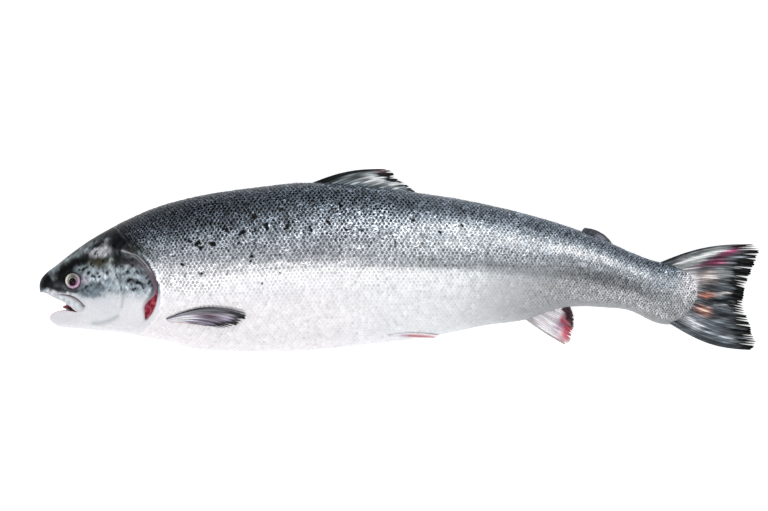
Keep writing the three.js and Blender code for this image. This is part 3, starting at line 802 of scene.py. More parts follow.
def shrink(x):
    """Scales are small behind the head and on the wrist of the tail, where they are about two thirds of their
    full size."""
    return 1 - 0.34 * ease((x - 360) / 330) - 0.28 * ease((190 - x) / 100)


ARC_PLACES = np.linspace(60, 719.6, 660)
ARC_TURNS = np.linspace(0, np.pi / 2, 120)


def arc_table(side, toward):
    """The length of skin from the lateral line at each turn towards the back or the belly, for every place
    along the body: the running sum of the steps between neighbouring points."""
    turn = toward * ARC_TURNS if side > 0 else np.pi - toward * ARC_TURNS
    points = skin_point(ARC_PLACES[:, None], turn[None, :])
    step = np.linalg.norm(np.diff(points, axis=1), axis=2)
    return np.concatenate([np.zeros((len(ARC_PLACES), 1)), np.cumsum(step, axis=1)], axis=1)


def turn_at(table, x, arc):
    """The turn at which the skin's length from the lateral line is arc: the table is read between its two
    nearest places, as a share of the whole length there."""
    k = np.clip((x - ARC_PLACES[0]) / (ARC_PLACES[1] - ARC_PLACES[0]), 0, len(ARC_PLACES) - 1.001)
    i = k.astype(int)
    part = k - i
    whole = table[i, -1] * (1 - part) + table[i + 1, -1] * part
    share = np.clip(arc / whole, 0, 1)
    even = np.linspace(0, 1, 160)
    rows = np.stack([np.interp(even, row / row[-1], ARC_TURNS) for row in table[::4]])
    i4 = np.clip(np.rint(k / 4).astype(int), 0, len(rows) - 1)
    j = np.minimum(share * 159, 158.999)
    j0 = j.astype(int)
    return rows[i4, j0] * (1 - (j - j0)) + rows[i4, j0 + 1] * (j - j0), whole


fine_x = np.linspace(80, 720, 4000)
travel = np.concatenate([[0], np.cumsum(np.diff(fine_x) / (SCALE_PITCH * shrink(fine_x[1:])))])
PLATE_ALONG = np.array([0, 0.42, 0.74, 0.94, 1.0])
PLATE_ACROSS = np.array([-1, -0.6, 0, 0.6, 1.0])
PLATE_RISE = np.array([-0.1, 0.3, 0.78, 1.0, 0.25])


def scale_rows(name, side, toward, seed):
    """One flank's scales from the lateral line to the ridge of the back or the belly. A scale's point lies at
    its row's length of skin plus its place across the plate, and at its own place along the body; its height
    grows towards the rear and falls at the rim."""
    rng = np.random.default_rng(seed)
    table = arc_table(side, toward)
    first = 0 if toward > 0 else 1
    row, step = np.meshgrid(np.arange(first, 52), np.arange(0, int(travel[-1])), indexing="ij")
    along = np.interp(step + 0.5 * (row % 2), travel, fine_x).ravel()
    row = row.ravel()
    arc = row * ROW_GAP * shrink(along)
    turn, whole = turn_at(table, along, arc)
    height = skin_point(along, toward * turn)[..., 1]
    keep = (arc < whole - 0.4 * ROW_GAP * shrink(along)) & (along > scale_edge(height)) & (along < LAST_SCALE)
    along, row, arc, height = along[keep], row[keep], arc[keep], height[keep]
    n = len(along)
    size = shrink(along)[:, None, None]
    a = PLATE_ALONG[None, :, None]
    b = PLATE_ACROSS[None, None, :]
    rounded = 1 - 0.52 * (1 - np.sqrt(1 - 0.96 * b**2)) * a
    swell = 0.8 + 0.2 * np.sin(np.pi * np.minimum(a * 1.1, 1))
    x = along[:, None, None] + size * SCALE_LENGTH * (a * rounded - 0.62)
    x = x + rng.normal(0, 0.3, n)[:, None, None]
    slant = rng.normal(0, 0.035, n)[:, None, None]
    q = arc[:, None, None] + size * (SCALE_HALF_WIDTH * b * swell + slant * SCALE_LENGTH * (a - 0.5))
    x, q = np.broadcast_arrays(np.minimum(x, LENGTH - 2), q)
    turn, whole = turn_at(table, x, np.abs(q))
    turn = turn * np.sign(q) * toward
    share = depth_share(along, height)
    pigment = np.interp(share, [0, 0.14, 0.24, 0.34, 0.46, 0.56, 0.7, 1],
                        [1.8, 1.6, 1.1, 0.8, 0.52, 0.22, 0.09, 0.05])
    pigment = np.maximum(pigment, 0.6 * ease((along - 480) / 130) * (1 - ease((share - 0.86) / 0.12)))
    pigment = pigment * (1 - 0.4 * ease((along - 340) / 90) * ease((0.4 - share) / 0.1))
    shoulder = 0.5 * ease((240 - along) / 60) * ease((0.7 - share) / 0.14)
    pigment = np.maximum(pigment, np.where(share > 0.45, shoulder, 0))
    strong = clamp01(pigment)
    lift = SCALE_LIFT * rng.uniform(0.75, 1.3, n)[:, None, None]
    tilt = (rng.normal(0, 0.12, n) * (0.15 + strong))[:, None, None]
    raised = 0.12 + size * (lift * PLATE_RISE[None, :, None] * (1 - 0.25 * b**2) + tilt * b)
    turn = turn if side > 0 else np.pi - turn
    points = skin_point(x, turn, raised)
    bare = 1 - ease((points[..., 0] - scale_edge(points[..., 1]) - 1) / 18)
    bare = (bare * ease((points[..., 1] - 4) / 12))[..., None]
    tones = body_paint(points[..., 0], points[..., 1]) * (1 - bare)
    tones = tones + head_paint(points[..., 0], points[..., 1]) * bare
    single = np.exp(rng.normal(0, 0.03 + 0.26 * strong, n))[:, None, None, None]
    line_row = (row == 0) & (along > 150)
    single = single * np.where(line_row, 0.8, 1.0)[:, None, None, None]
    pigment = pigment * rng.uniform(0.6, 1.1, n)
    uv = np.stack(np.broadcast_arrays(a + 0 * x, b * 0.5 + 0.5 + 0 * x), -1)
    quads = (grid_quads(5, 5)[None] + 25 * np.arange(n)[:, None, None]).reshape(-1, 4)
    up_side = (side * toward) < 0
    return make_piece(name, points, quads, None, scale_skin, clamp01(tones * single),
                      {"pigment": np.repeat(pigment, 25),
                       "spot": spot_cover(points[..., 0], points[..., 1], BODY_SPOTS, 2.7, 11, fade=4.0)},
                      uv, flip=not up_side)


# %% [markdown]
# ## What a scale looks like
# Each scale is clear at the rim and carries its pigment as a dark comma at the middle of what shows of it. On
# the back the commas nearly fill the scale, on the belly they all but vanish. The plate's own coordinates,
# from its front to its rear and from side to side, place the comma, so it sits in the same spot on every
# scale.

# %% Scale material
scale_skin, tree, shader = new_material("Salmon scales, guanine silver under wet mucus")
tint = add(tree, "ShaderNodeAttribute", {"attribute_name": "tint"})
pigment = add(tree, "ShaderNodeAttribute", {"attribute_name": "pigment"})
lay = add(tree, "ShaderNodeUVMap", {"uv_map": "lay"})
object_place = add(tree, "ShaderNodeTexCoord")
ragged = add(tree, "ShaderNodeTexNoise", {"Scale": 1 / (2.2 * MM), "Detail": 2.0},
             {"Vector": object_place.outputs["Object"]})
shift = add(tree, "ShaderNodeVectorMath",
            {"operation": "MULTIPLY_ADD", 1: (0.3, 0.35, 0.0), 2: (-0.15, -0.175, 0.0)},
            {0: ragged.outputs["Color"]})
moved = add(tree, "ShaderNodeVectorMath", {"operation": "ADD"},
            {0: lay.outputs["UV"], 1: shift.outputs["Vector"]})
comma = add(tree, "ShaderNodeVectorMath",
            {"operation": "MULTIPLY_ADD", 1: (4.2, 3.0, 0.0), 2: (-2.9, -1.5, 0.0)},
            {0: moved.outputs["Vector"]})
far = add(tree, "ShaderNodeVectorMath", {"operation": "LENGTH"}, {0: comma.outputs["Vector"]})
rim_tone = add(tree, "ShaderNodeMath", {"operation": "MULTIPLY_ADD", 1: 1.3, 2: 1.0},
               {0: pigment.outputs["Fac"]})
comma_tone = add(tree, "ShaderNodeMath", {"operation": "MULTIPLY_ADD", "use_clamp": True, 1: -0.86, 2: 1.0},
                 {0: pigment.outputs["Fac"]})
level = add(tree, "ShaderNodeMapRange", {"From Min": 0.62, "From Max": 1.25},
            {"Value": far.outputs["Value"], "To Min": comma_tone.outputs["Value"],
             "To Max": rim_tone.outputs["Value"]})
flecks = add(tree, "ShaderNodeTexNoise", {"Scale": 1 / (1.3 * MM), "Detail": 1.0},
             {"Vector": object_place.outputs["Object"]})
fleck_depth = add(tree, "ShaderNodeMath", {"operation": "MULTIPLY", 1: 1.1}, {0: pigment.outputs["Fac"]})
fleck_high = add(tree, "ShaderNodeMath", {"operation": "ADD", 1: 1.0}, {0: fleck_depth.outputs["Value"]})
fleck_low = add(tree, "ShaderNodeMath", {"operation": "MULTIPLY_ADD", "use_clamp": True, 1: -0.6, 2: 1.0},
                {0: fleck_depth.outputs["Value"]})
fleck = add(tree, "ShaderNodeMapRange", {"From Min": 0.36, "From Max": 0.72},
            {"Value": flecks.outputs["Fac"], "To Min": fleck_low.outputs["Value"],
             "To Max": fleck_high.outputs["Value"]})
tone = add(tree, "ShaderNodeMath", {"operation": "MULTIPLY"},
           {0: level.outputs["Result"], 1: fleck.outputs["Result"]})
spot = add(tree, "ShaderNodeAttribute", {"attribute_name": "spot"})
off_spot = add(tree, "ShaderNodeMapRange", {"From Min": 0.4, "From Max": 0.55, "To Min": 1.0, "To Max": 0.02},
               {"Value": spot.outputs["Fac"]})
spotted = add(tree, "ShaderNodeMath", {"operation": "MULTIPLY"},
              {0: tone.outputs["Value"], 1: off_spot.outputs["Result"]})
colour = add(tree, "ShaderNodeVectorMath", {"operation": "SCALE"},
             {0: tint.outputs["Color"], "Scale": spotted.outputs["Value"]})
tree.links.new(colour.outputs["Vector"], shader.inputs["Base Color"])
rings = add(tree, "ShaderNodeTexWave", {"wave_type": "RINGS", "rings_direction": "Z", "Scale": 1.4,
                                        "Distortion": 0.6}, {"Vector": comma.outputs["Vector"]})
bump = add(tree, "ShaderNodeBump", {"Strength": 0.25, "Distance": 0.06 * MM},
           {"Height": rings.outputs["Fac"]})
tree.links.new(bump.outputs["Normal"], shader.inputs["Normal"])
metal = add(tree, "ShaderNodeMapRange", {"To Min": 0.02, "To Max": 0.32}, {"Value": pigment.outputs["Fac"]})
tree.links.new(metal.outputs["Result"], shader.inputs["Metallic"])
gloss = add(tree, "ShaderNodeMapRange", {"To Min": 0.5, "To Max": 0.27}, {"Value": pigment.outputs["Fac"]})
tree.links.new(gloss.outputs["Result"], shader.inputs["Roughness"])
shader.inputs["Specular IOR Level"].default_value = 0.2
shader.inputs["IOR"].default_value = 1.36
shader.inputs["Coat Weight"].default_value = 0.12
shader.inputs["Coat IOR"].default_value = 1.34
shader.inputs["Coat Roughness"].default_value = 0.1

# %% Scales on both sides
scale_rows("scales_left_back", 1, 1, 41)
scale_rows("scales_left_belly", 1, -1, 42)
scale_rows("scales_right_back", -1, 1, 43)
scale_rows("scales_right_belly", -1, -1, 44)

# %% [markdown]
# ## Plates that lie on the head
# The gill cover, the upper jaw's bone and the gills all are shells that follow the head. Each is made between
# two curves of the side view: a point's share across runs from the first curve to the second, its share along
# runs down them both. A height above the skin is given for the upper face and for the lower face, and the two
# faces meet all round the rim, so the shell is closed.


# %% Shells on the head
def shell_grid(first_curve, second_curve, across, along):
    """Points of the side view: the share across, times the step from the first curve to the second, is added
    to the first curve at the share along."""
    first = spline(first_curve, along)
    second = spline(second_curve, along)
    share = np.linspace(0, 1, across)[:, None, None]
    plan = first[None] + share * (second - first)[None]
    u, v = np.meshgrid(np.linspace(0, 1, across), np.linspace(0, 1, along), indexing="ij")
    return plan[..., 0], plan[..., 1], u, v


def closed_sheets(top, bottom):
    """The points and quads of a slab: the top grid, the bottom grid turned over, and a ring of quads that
    joins their rims."""
    rows, columns = top.shape[:2]
    upper = grid_quads(rows, columns)
    lower = grid_quads(rows, columns, offset=rows * columns)[:, ::-1]
    number = np.arange(rows * columns).reshape(rows, columns)
    rim = np.concatenate([number[0, :-1], number[:-1, -1], number[-1, :0:-1], number[:0:-1, 0]])
    after = np.roll(rim, -1)
    wall = np.stack([after, rim, rim + rows * columns, after + rows * columns], -1)
    return np.concatenate([top.reshape(-1, 3), bottom.reshape(-1, 3)]), np.concatenate([upper, lower, wall])


def shell_on_head(name, node, material, curves, side, grid, top_rise, bottom_rise, paint, values=None):
    """A closed shell on the skin of one side of the head, with the heights of its faces and its colour given
    as functions of the side view's x and y and the shares u across and v along."""
    x, y, u, v = shell_grid(curves[0], curves[1], *grid)
    top = np.stack([x, y, over_skin(x, y, side, top_rise(x, y, u, v))], -1)
    bottom = np.stack([x, y, over_skin(x, y, side, bottom_rise(x, y, u, v))], -1)
    points, faces = closed_sheets(top, bottom)
    colour = paint(x, y, u, v)
    colours = np.concatenate([colour.reshape(-1, 3)] * 2)
    run = top[1:, 1:] - top[:-1, :-1]
    lean = top[1:, :-1] - top[:-1, 1:]
    upward = np.cross(run.reshape(-1, 3), lean.reshape(-1, 3))[:, 2].sum() > 0
    return make_piece(name, points, faces, node, material, colours, values, flip=upward == (side > 0))


# %% [markdown]
# ## Gill covers
# The gill cover is a thin bony plate under tight skin. Its front edge sinks into the cheek, its rear edge
# stands a few millimetres off the shoulder and is rounded, and faint rays and mottling cross it. It bulges a
# little in the middle. It is painted by the same head colours, so that its patches run on over its front
# edge, and has a pale rear rim with a dark membrane just inside it.

# %% Gill covers
COVER_FRONT = [[79.9, 7.0], [83.5, -3.6], [88.9, -13.5], [91.4, -25.5], [90.4, -38.8], [86.0, -49.8],
               [80.0, -57.9], [72, -61.0]]
COVER_REAR = [[99, 17.4], [111.6, 13.4], [121.7, 3.6], [128.9, -9.0], [132.4, -21.5], [128.4, -30.0],
              [120.8, -36.6], [117.6, -41.4], [117.2, -49.4], [116.4, -57.0], [104.4, -62.0],
              [81.0, -64.2]]


def cover_top(x, y, u, v):
    """Flush at the front, 2.8 mm proud at the rear with a bulge between, rounded off over the last part."""
    proud = -0.6 + 1.5 * ease(u / 0.25) + 1.5 * u + 1.2 * np.sin(np.pi * u) * np.sin(np.pi * v)
    rounding = np.sqrt(np.maximum(1 - ease((u - 0.93) / 0.07) ** 2 * 0.9, 0))
    ends = ease(v / 0.06) * ease((1 - v) / 0.05)
    ribs = 0.16 * np.sin(v * 46 + 3 * u) * ease((v - 0.5) / 0.2) * np.sin(np.pi * u)
    ridge = 0.35 * np.exp(-((u - 0.1) / 0.07) ** 2) - 0.45 * np.exp(-((u - 0.24) / 0.05) ** 2)
    return -0.7 + (proud + 0.7) * rounding * (0.15 + 0.85 * ends) + ribs + ridge + 0.15 * wobble(x, y, 7, 51)


def cover_under(x, y, u, v):
    return -1.3 + 0 * u


def cover_paint(x, y, u, v):
    """The head's colours, a dark membrane inside the rear rim, a pale rim and painted shade at the rear."""
    colour = head_paint(x, y)
    upper = ease((0.62 - v) / 0.2)
    colour = mixed(colour, "3c3a40", 0.75 * np.exp(-((u - 0.88) / 0.05) ** 2) * upper)
    # the rear edge's purple is the rim's own colour with painted shade on its wall; the purple-grey below is
    # painted shade
    colour = mixed(colour, "6e4a5c", 0.7 * ease((u - 0.96) / 0.03) * ease((v - 0.1) / 0.1) * upper)
    colour = mixed(colour, "5c4c58", 0.75 * ease((u - 0.85) / 0.06) * np.exp(-((v - 0.42) / 0.17) ** 2))
    rim = 0.5 * np.exp(-((u - 0.945) / 0.014) ** 2) * (1 - ease((v - 0.2) / 0.12))
    colour = mixed(colour, "d0ccd2", rim)
    return mixed(colour, "b04a5c", 0.55 * np.exp(-((u - 1.0) / 0.05) ** 2) * np.exp(-((v - 0.56) / 0.1) ** 2))


for label, side in (("left", 1), ("right", -1)):
    shell_on_head(f"{label}_gill_cover_skin", f"{label}_gill_cover", head_skin,
                  [COVER_FRONT, COVER_REAR], side, (80, 110), cover_top, cover_under, cover_paint)

# %% [markdown]
# ## Gills
# In the slit between the gill cover and the shoulder the gills show: crimson filaments, side by side like the
# teeth of a comb, about a millimetre apart, wet and soft. They are a shell sunk under the skin whose upper
# face is folded into ridges. Their crimson is painted darker in the folds and brighter on the ridges, painted
# shade and painted highlights, with painted shade under the shoulder's edge.

# %% Gills
gill_flesh = painted_skin("Gill filaments, wet and full of blood", 0.0, 0.22, 0.8, 0.25, 0.3)
gill_flesh.node_tree.nodes["Principled BSDF"].inputs["Subsurface Weight"].default_value = 0.25
gill_flesh.node_tree.nodes["Principled BSDF"].inputs["Subsurface Scale"].default_value = 1.5 * MM
GILL_FRONT = [[126, -22.8], [119, -31], [114.6, -39], [112.2, -46], [111.4, -54.5]]
GILL_REAR = [[133.6, -23.4], [134, -31], [131, -41], [126.2, -49.2], [117.5, -55.8]]


def filament(u, v):
    """Ridges across the slit, a little wavy: 0 in a fold and 1 on a ridge."""
    return 0.5 + 0.5 * np.sin(2 * np.pi * (26 * v + 1.3 * np.sin(5 * u + 9 * v) * 0.5))


def gill_top(x, y, u, v):
    comb = filament(u, v) * (0.55 + 0.45 * np.sin(np.pi * u))
    return -3.6 + 1.9 * np.sin(np.pi * clamp01(u * 0.9 + 0.05)) + 0.9 * comb + 0.5 * wobble(x, y, 5, 61)


def gill_under(x, y, u, v):
    return -6.0 + 0 * u


def gill_paint(x, y, u, v):
    # painted shade in the folds and painted highlights on the ridges, then painted shade under the shoulder's
    # edge
    comb = clamp01(filament(u, v) ** 1.5 * (0.55 + 1.1 * wobble(x, y, 3.5, 62)))[..., None]
    colour = linear("8a1a32") * (1 - comb) + linear("f87088") * comb
    shade_under_shoulder = 0.85 * np.exp(-((u - 0.93) / 0.12) ** 2) * ease(0.5 + wobble(x, y, 5, 63))
    colour = mixed(colour, "240810", shade_under_shoulder)
    return mixed(colour, "b5789c", 0.8 * ease((0.5 - u) / 0.35) * ease((v - 0.3) / 0.25))


for label, side in (("left", 1), ("right", -1)):
    shell_on_head(f"{label}_gill_filaments", f"{label}_gills", gill_flesh,
                  [GILL_FRONT, GILL_REAR], side, (36, 200), gill_top, gill_under, gill_paint)

# %% [markdown]
# ## Upper jaw
# The maxilla is the long flat bone that hangs from the snout over the corner of the mouth like a moustache.
# It is a pillow-shaped plate, pale blue-grey, with a wine-dark line along the fold above it and a pinkish
# lower edge.

# %% Upper jaw
JAW_TOP = [[13.6, -26.6], [22, -28.0], [28.5, -28.6], [36, -29.4], [41.8, -31.4], [47.6, -35.4],
           [52.6, -40.8]]
JAW_EDGE = [[13.6, -28.2], [20.9, -33.2], [28.1, -36.2], [36, -41.4], [43.6, -47.0], [49.6, -46.4],
            [52.9, -42.0]]


def jaw_top(x, y, u, v):
    """A pillow: highest along its middle, its ends thinning to nothing."""
    ends = np.sqrt(np.sin(np.pi * np.clip(0.06 + 0.9 * v, 0, 1)))
    pillow = 2.4 * np.sqrt(np.sin(np.pi * clamp01(u * 0.94 + 0.03)))
    return -0.6 + pillow * ends + 0.12 * wobble(x, y, 6, 71)


def jaw_under(x, y, u, v):
    return -1.2 + 0 * u


def jaw_paint(x, y, u, v):
    colour = linear("c8cfd4") * (1 + 0.2 * wobble(x, y, 5, 72))[..., None]
    colour = mixed(colour, "6a5660", 0.75 * ease((v - 0.78) / 0.14) * np.exp(-((u - 0.35) / 0.4) ** 2))
    colour = mixed(colour, "4a1c2a", 0.9 * np.exp(-(u / 0.2) ** 2) * ease((v - 0.15) / 0.2))
    return mixed(colour, "dcd0d6", 0.6 * ease((u - 0.7) / 0.25))


for label, side in (("left", 1), ("right", -1)):
    shell_on_head(f"{label}_upper_jaw", f"{label}_maxilla", head_skin,
                  [JAW_TOP, JAW_EDGE], side, (24, 90), jaw_top, jaw_under, jaw_paint)

# %% [markdown]
# ## Tongue
# A short fleshy tongue lies on the floor of the mouth. It is a tapering loft of flattened ellipses, round at
# its tip, dull pink and wet.

# %% Tongue
tongue_low, tongue_high = ((np.array(c) / MM - [SNOUT, AXIS, 0]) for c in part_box("tongue"))
tongue_middle = (tongue_low + tongue_high) / 2
tongue_size = tongue_high - tongue_low
t, w = np.meshgrid(np.linspace(0.0, 1, 40), np.linspace(0, 2 * np.pi, 40, endpoint=False), indexing="ij")
girth = np.sqrt(1 - (1 - np.clip(t * 1.6, 0, 1)) ** 2) * np.sqrt(1 - np.clip(t, 0, 0.9999) ** 6)
tongue_points = np.stack([tongue_low[0] + t * tongue_size[0] * 1.15,
                          tongue_middle[1] + girth * np.cos(w) * tongue_size[1] / 2,
                          tongue_middle[2] + girth * np.sin(w) * tongue_size[2] / 2 * 0.9], -1)
tongue_flesh = painted_skin("Tongue, wet flesh", 0.0, 0.3, 0.6, 0.15, 0.2)
tongue_colour = linear("b9707e") * (1 + 0.15 * wobble(t * 20, w * 5, 5, 73))[..., None]
make_piece("tongue_flesh", tongue_points, grid_quads(40, 40, around=True), "tongue",
           tongue_flesh, tongue_colour)

# %% [markdown]
# ## Eyes
# A fish's eye has no lids: a clear dome over a flat ring of iris and a wide black pupil. The ring is silver-
# cream, greened at the top and flushed pink below, with a dark inner edge. The eyeball is a low dome turned
# around the eye's axis, dished where the iris lies, and a second, clear dome of cornea covers it, so that the
# gloss stands in front of the colour.

# %% Eyeball and cornea
eyeball = painted_skin("Fish eye, iris and pupil", 0.0, 0.35, 0.05, 0.08, 0.05)
cornea, tree, shader = new_material("Cornea, clear and wet")
shader.inputs["Base Color"].default_value = rgba("ffffff")
shader.inputs["Transmission Weight"].default_value = 1.0
shader.inputs["Roughness"].default_value = 0.02
shader.inputs["IOR"].default_value = 1.12
clouding = add(tree, "ShaderNodeTexNoise", {"Scale": 1 / (2 * MM)},
               {"Vector": add(tree, "ShaderNodeTexCoord").outputs["Object"]})
film = add(tree, "ShaderNodeBump", {"Strength": 0.05, "Distance": 0.1 * MM},
           {"Height": clouding.outputs["Fac"]})
tree.links.new(film.outputs["Normal"], shader.inputs["Normal"])
DARK_RIM = "17181a"
IRIS_RADIUS = 8.4
IRIS_PATCHES = [
    # turn in degrees, spread, colour, strength
    [165, 60, "efeee2", 0.9],
    [85, 45, "5c6258", 0.8],
    [20, 40, "a59aa8", 0.6],
    [-40, 50, "dca6d0", 0.9],
    [-110, 40, "c79ac4", 0.7],
]
PUPIL_RADIUS = 3.8


def iris_paint(x, y):
    """Colour by the distance and the turn from the pupil, which is drawn out to a drop towards the mouth."""
    far = np.hypot(x, y)
    turn = np.degrees(np.arctan2(y, x))
    drop = np.hypot(x, (y + 0.5) * np.where(y < -0.5, 0.85, 1.0))

    def facing(angle, spread):
        off = (turn - angle + 180) % 360 - 180
        return np.exp(-(off / spread) ** 2)

    fine = (1 + 0.1 * np.sin(np.radians(turn) * 34) + 0.1 * wobble(x, y, 1.6, 81))[..., None]
    colour = np.broadcast_to(linear("cfccc4"), (*far.shape, 3)) * fine
    for angle, spread, code, strength in IRIS_PATCHES:
        colour = mixed(colour, code, strength * facing(angle, spread))
    colour = mixed(colour, "2b2428", 0.9 * np.exp(-((far - PUPIL_RADIUS - 1.1) / 0.8) ** 2))
    colour = mixed(colour, "040304", 1 - ease((drop - PUPIL_RADIUS + 0.2) / 0.5))
    colour = mixed(colour, "5c1f33", 0.8 * np.exp(-(((x - 0.6) / 1.6) ** 2 + ((y + 2.6) / 1.3) ** 2)))
    return clamp01(mixed(colour, DARK_RIM, ease((far - IRIS_RADIUS + 0.7) / 0.8)))


def eye_dome(side, radius, height, dish, rise, rings=40, steps=72):
    """A closed cushion turned around the eye's axis: its upper face rises as the square root of 1 less the
    squared share of the radius, less a dish over the iris; its lower face lies below by a third of that."""
    s, w = np.meshgrid(np.linspace(1e-3, 1, rings), np.linspace(0, 2 * np.pi, steps, endpoint=False),
                       indexing="ij")
    x = radius * s * np.cos(w)
    y = radius * s * np.sin(w)
    seat = over_skin(EYE[0], EYE[1], side, 0.0)
    slope_x = (over_skin(EYE[0] + 1, EYE[1], side, 0.0) - over_skin(EYE[0] - 1, EYE[1], side, 0.0)) / 2
    slope_y = (over_skin(EYE[0], EYE[1] + 1, side, 0.0) - over_skin(EYE[0], EYE[1] - 1, side, 0.0)) / 2
    plane = seat + 0.6 * (slope_x * x + slope_y * y)
    up = rise + height * np.sqrt(1 - 0.998 * s**2) - dish * np.exp(-(s / 0.55) ** 4)
    down = rise - 0.35 * height * np.sqrt(1 - 0.998 * s**2) - 1.2
    top = np.stack([EYE[0] + x, EYE[1] + y, plane + side * up], -1)
    bottom = np.stack([EYE[0] + x, EYE[1] + y, plane + side * down], -1)
    points = np.concatenate([top.reshape(-1, 3), bottom.reshape(-1, 3)])
    upper = grid_quads(rings, steps, around=True)
    lower = grid_quads(rings, steps, around=True, offset=rings * steps)[:, ::-1]
    rim = np.arange(steps) + (rings - 1) * steps
    wall = np.stack([rim, rim + rings * steps, np.roll(rim, -1) + rings * steps, np.roll(rim, -1)], -1)
    faces = np.concatenate([upper, lower, wall]).tolist()
    faces += [np.arange(steps)[::-1].tolist(), (np.arange(steps) + rings * steps).tolist()]
    return points, faces, x, y


def make_eye(label, side):
    points, faces, x, y = eye_dome(side, 8.9, 2.6, 0.7, -1.4)
    colour = np.concatenate([iris_paint(x, y).reshape(-1, 3), np.tile(linear(DARK_RIM), (x.size, 1))])
    for name, pts, material, colours, node in (
            (f"{label}_eyeball", points, eyeball, colour, f"{label}_eye"),
            (f"{label}_cornea", eye_dome(side, 8.5, 4.2, 0.0, -1.6)[0], cornea, None, None)):
        mesh = bpy.data.meshes.new(name)
        mesh.from_pydata(to_frame(pts).tolist(), [], [face[::-1] for face in faces] if side > 0 else faces)
        if colours is not None:
            layer = mesh.color_attributes.new("tint", "FLOAT_COLOR", "POINT")
            opaque = np.column_stack([colours, np.ones(len(colours))]).astype(np.float32)
            layer.data.foreach_set("color", opaque.ravel())
        mesh.polygons.foreach_set("use_smooth", np.ones(len(mesh.polygons), bool))
        mesh.materials.append(material)
        piece = bpy.data.objects.new(name, mesh)
        bpy.context.scene.collection.objects.link(piece)
        if node:
            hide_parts(node)
        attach(piece, "root")
    print(label, "eye", len(points), "points")


make_eye("left", 1)
make_eye("right", -1)

# %% [markdown]
# ## Fins
# A salmon's fin is a web of thin membrane stretched over bony rays that fan out from its root and fray at the
# edge. Each fin here is one closed slab. Its points are named by a share across the rays and a share along
# them, it is thicker on each ray than between them, and its edge is notched where the membrane has split. All
# fins are made by one function from a root, a free edge and a bow, and differ in their colours.


# %% The ray fin
def rays_of(name, node, root, margin, rays, bow, height, thickness, paint, seed, splits, depth=0.16, rows=44,
            per_ray=8):
    """A point is the root's point at the share u, plus the share v of the way to the free edge's point at u,
    plus the bow times the sine of half a turn over v. The way is shortened in a notch at each split and a
    little from ray to ray. height gives the middle of the slab, thickness its share of the root's and edge's
    values."""
    rng = np.random.default_rng(seed)
    columns = rays * per_ray + 1
    u = np.linspace(0, 1, columns)
    ray = np.minimum((u * rays).astype(int), rays - 1)
    across = (u * rays) % 1.0
    ridge = np.sin(np.pi * across) ** 0.8
    reach = 1 - 0.022 * rng.random(rays)[ray] - 0.018 * (1 - ridge)
    for place in rng.choice(np.arange(1, rays), splits, replace=False) / rays:
        wide = rng.uniform(0.28, 0.5) / rays
        reach = reach - depth * rng.uniform(0.35, 1) * np.maximum(1 - np.abs(u - place) / wide, 0) ** 0.8
    start = spline(root, columns)
    end = spline(margin, columns)
    v = np.linspace(0, 1, rows)[:, None] * reach[None, :]
    bend = bow * (1 - 2 * u) if np.isscalar(bow) else np.interp(u, [0, 1], bow)
    plan = start[None] + v[..., None] * (end - start)[None]
    x = plan[..., 0]
    y = plan[..., 1] + bend[None, :] * np.sin(np.pi * np.clip(v, 0, 1))
    v_plain = v
    u2 = np.broadcast_to(u[None, :], v.shape)
    half = (thickness[0] + (thickness[1] - thickness[0]) * np.sqrt(v_plain)) / 2
    half = half * (0.62 + 0.38 * ridge[None, :])
    outer = np.minimum(u2, 1 - u2) * rays
    half = half * (0.35 + 0.65 * np.sqrt(clamp01(outer)))
    half = half * (0.3 + 0.7 * np.sqrt(clamp01((reach[None, :] - v_plain) / 0.03)))
    middle = height(x, y, u2, v_plain) + 0.25 * np.sin(2 * np.pi * (u2 * rays * 0.5 + v_plain)) * v_plain
    low = np.maximum(middle - half, 0.3)
    top = np.stack([x, y, np.maximum(middle + half, low + 0.25)], -1)
    bottom = np.stack([x, y, low], -1)
    points, faces = closed_sheets(top, bottom)
    single = rng.normal(0, 1, (rays, 6))
    knots = np.linspace(0, 1, 6)
    tone = np.stack([np.interp(v_plain[:, 0], knots, row) for row in single])[ray].T
    colour = paint(x, y, u2, v_plain, tone, np.broadcast_to(ridge[None, :], v.shape))
    run = np.cross(top[1:, 1:] - top[:-1, :-1], top[1:, :-1] - top[:-1, 1:])
    upward = run[..., 2].sum() > 0
    colours = np.concatenate([clamp01(colour).reshape(-1, 3)] * 2)
    return make_piece(name, points, faces, node, fin_web, colours, flip=upward)


fin_web = painted_skin("Fin, wet membrane over rays", 0.0, 0.32, 0.2, 0.14, 0.2)


def streaked(colour, tone, ridge, spread, web=0.12):
    """Each ray a little lighter or darker than the next, changing along it, and the web between them
    darker."""
    return colour * np.exp(spread * tone)[..., None] * (1 - web + web * 2 * ridge)[..., None]


# %% [markdown]
# ## Tail fin
# The tail fin fans out from under the end of the flesh, with thick slate rays along its two outer edges. Its
# upper lobe is pale at the root and bruised magenta, its middle rays are black between white ones, the flesh
# shows salmon-orange at the root, and its black edge is badly frayed, as on farmed fish.

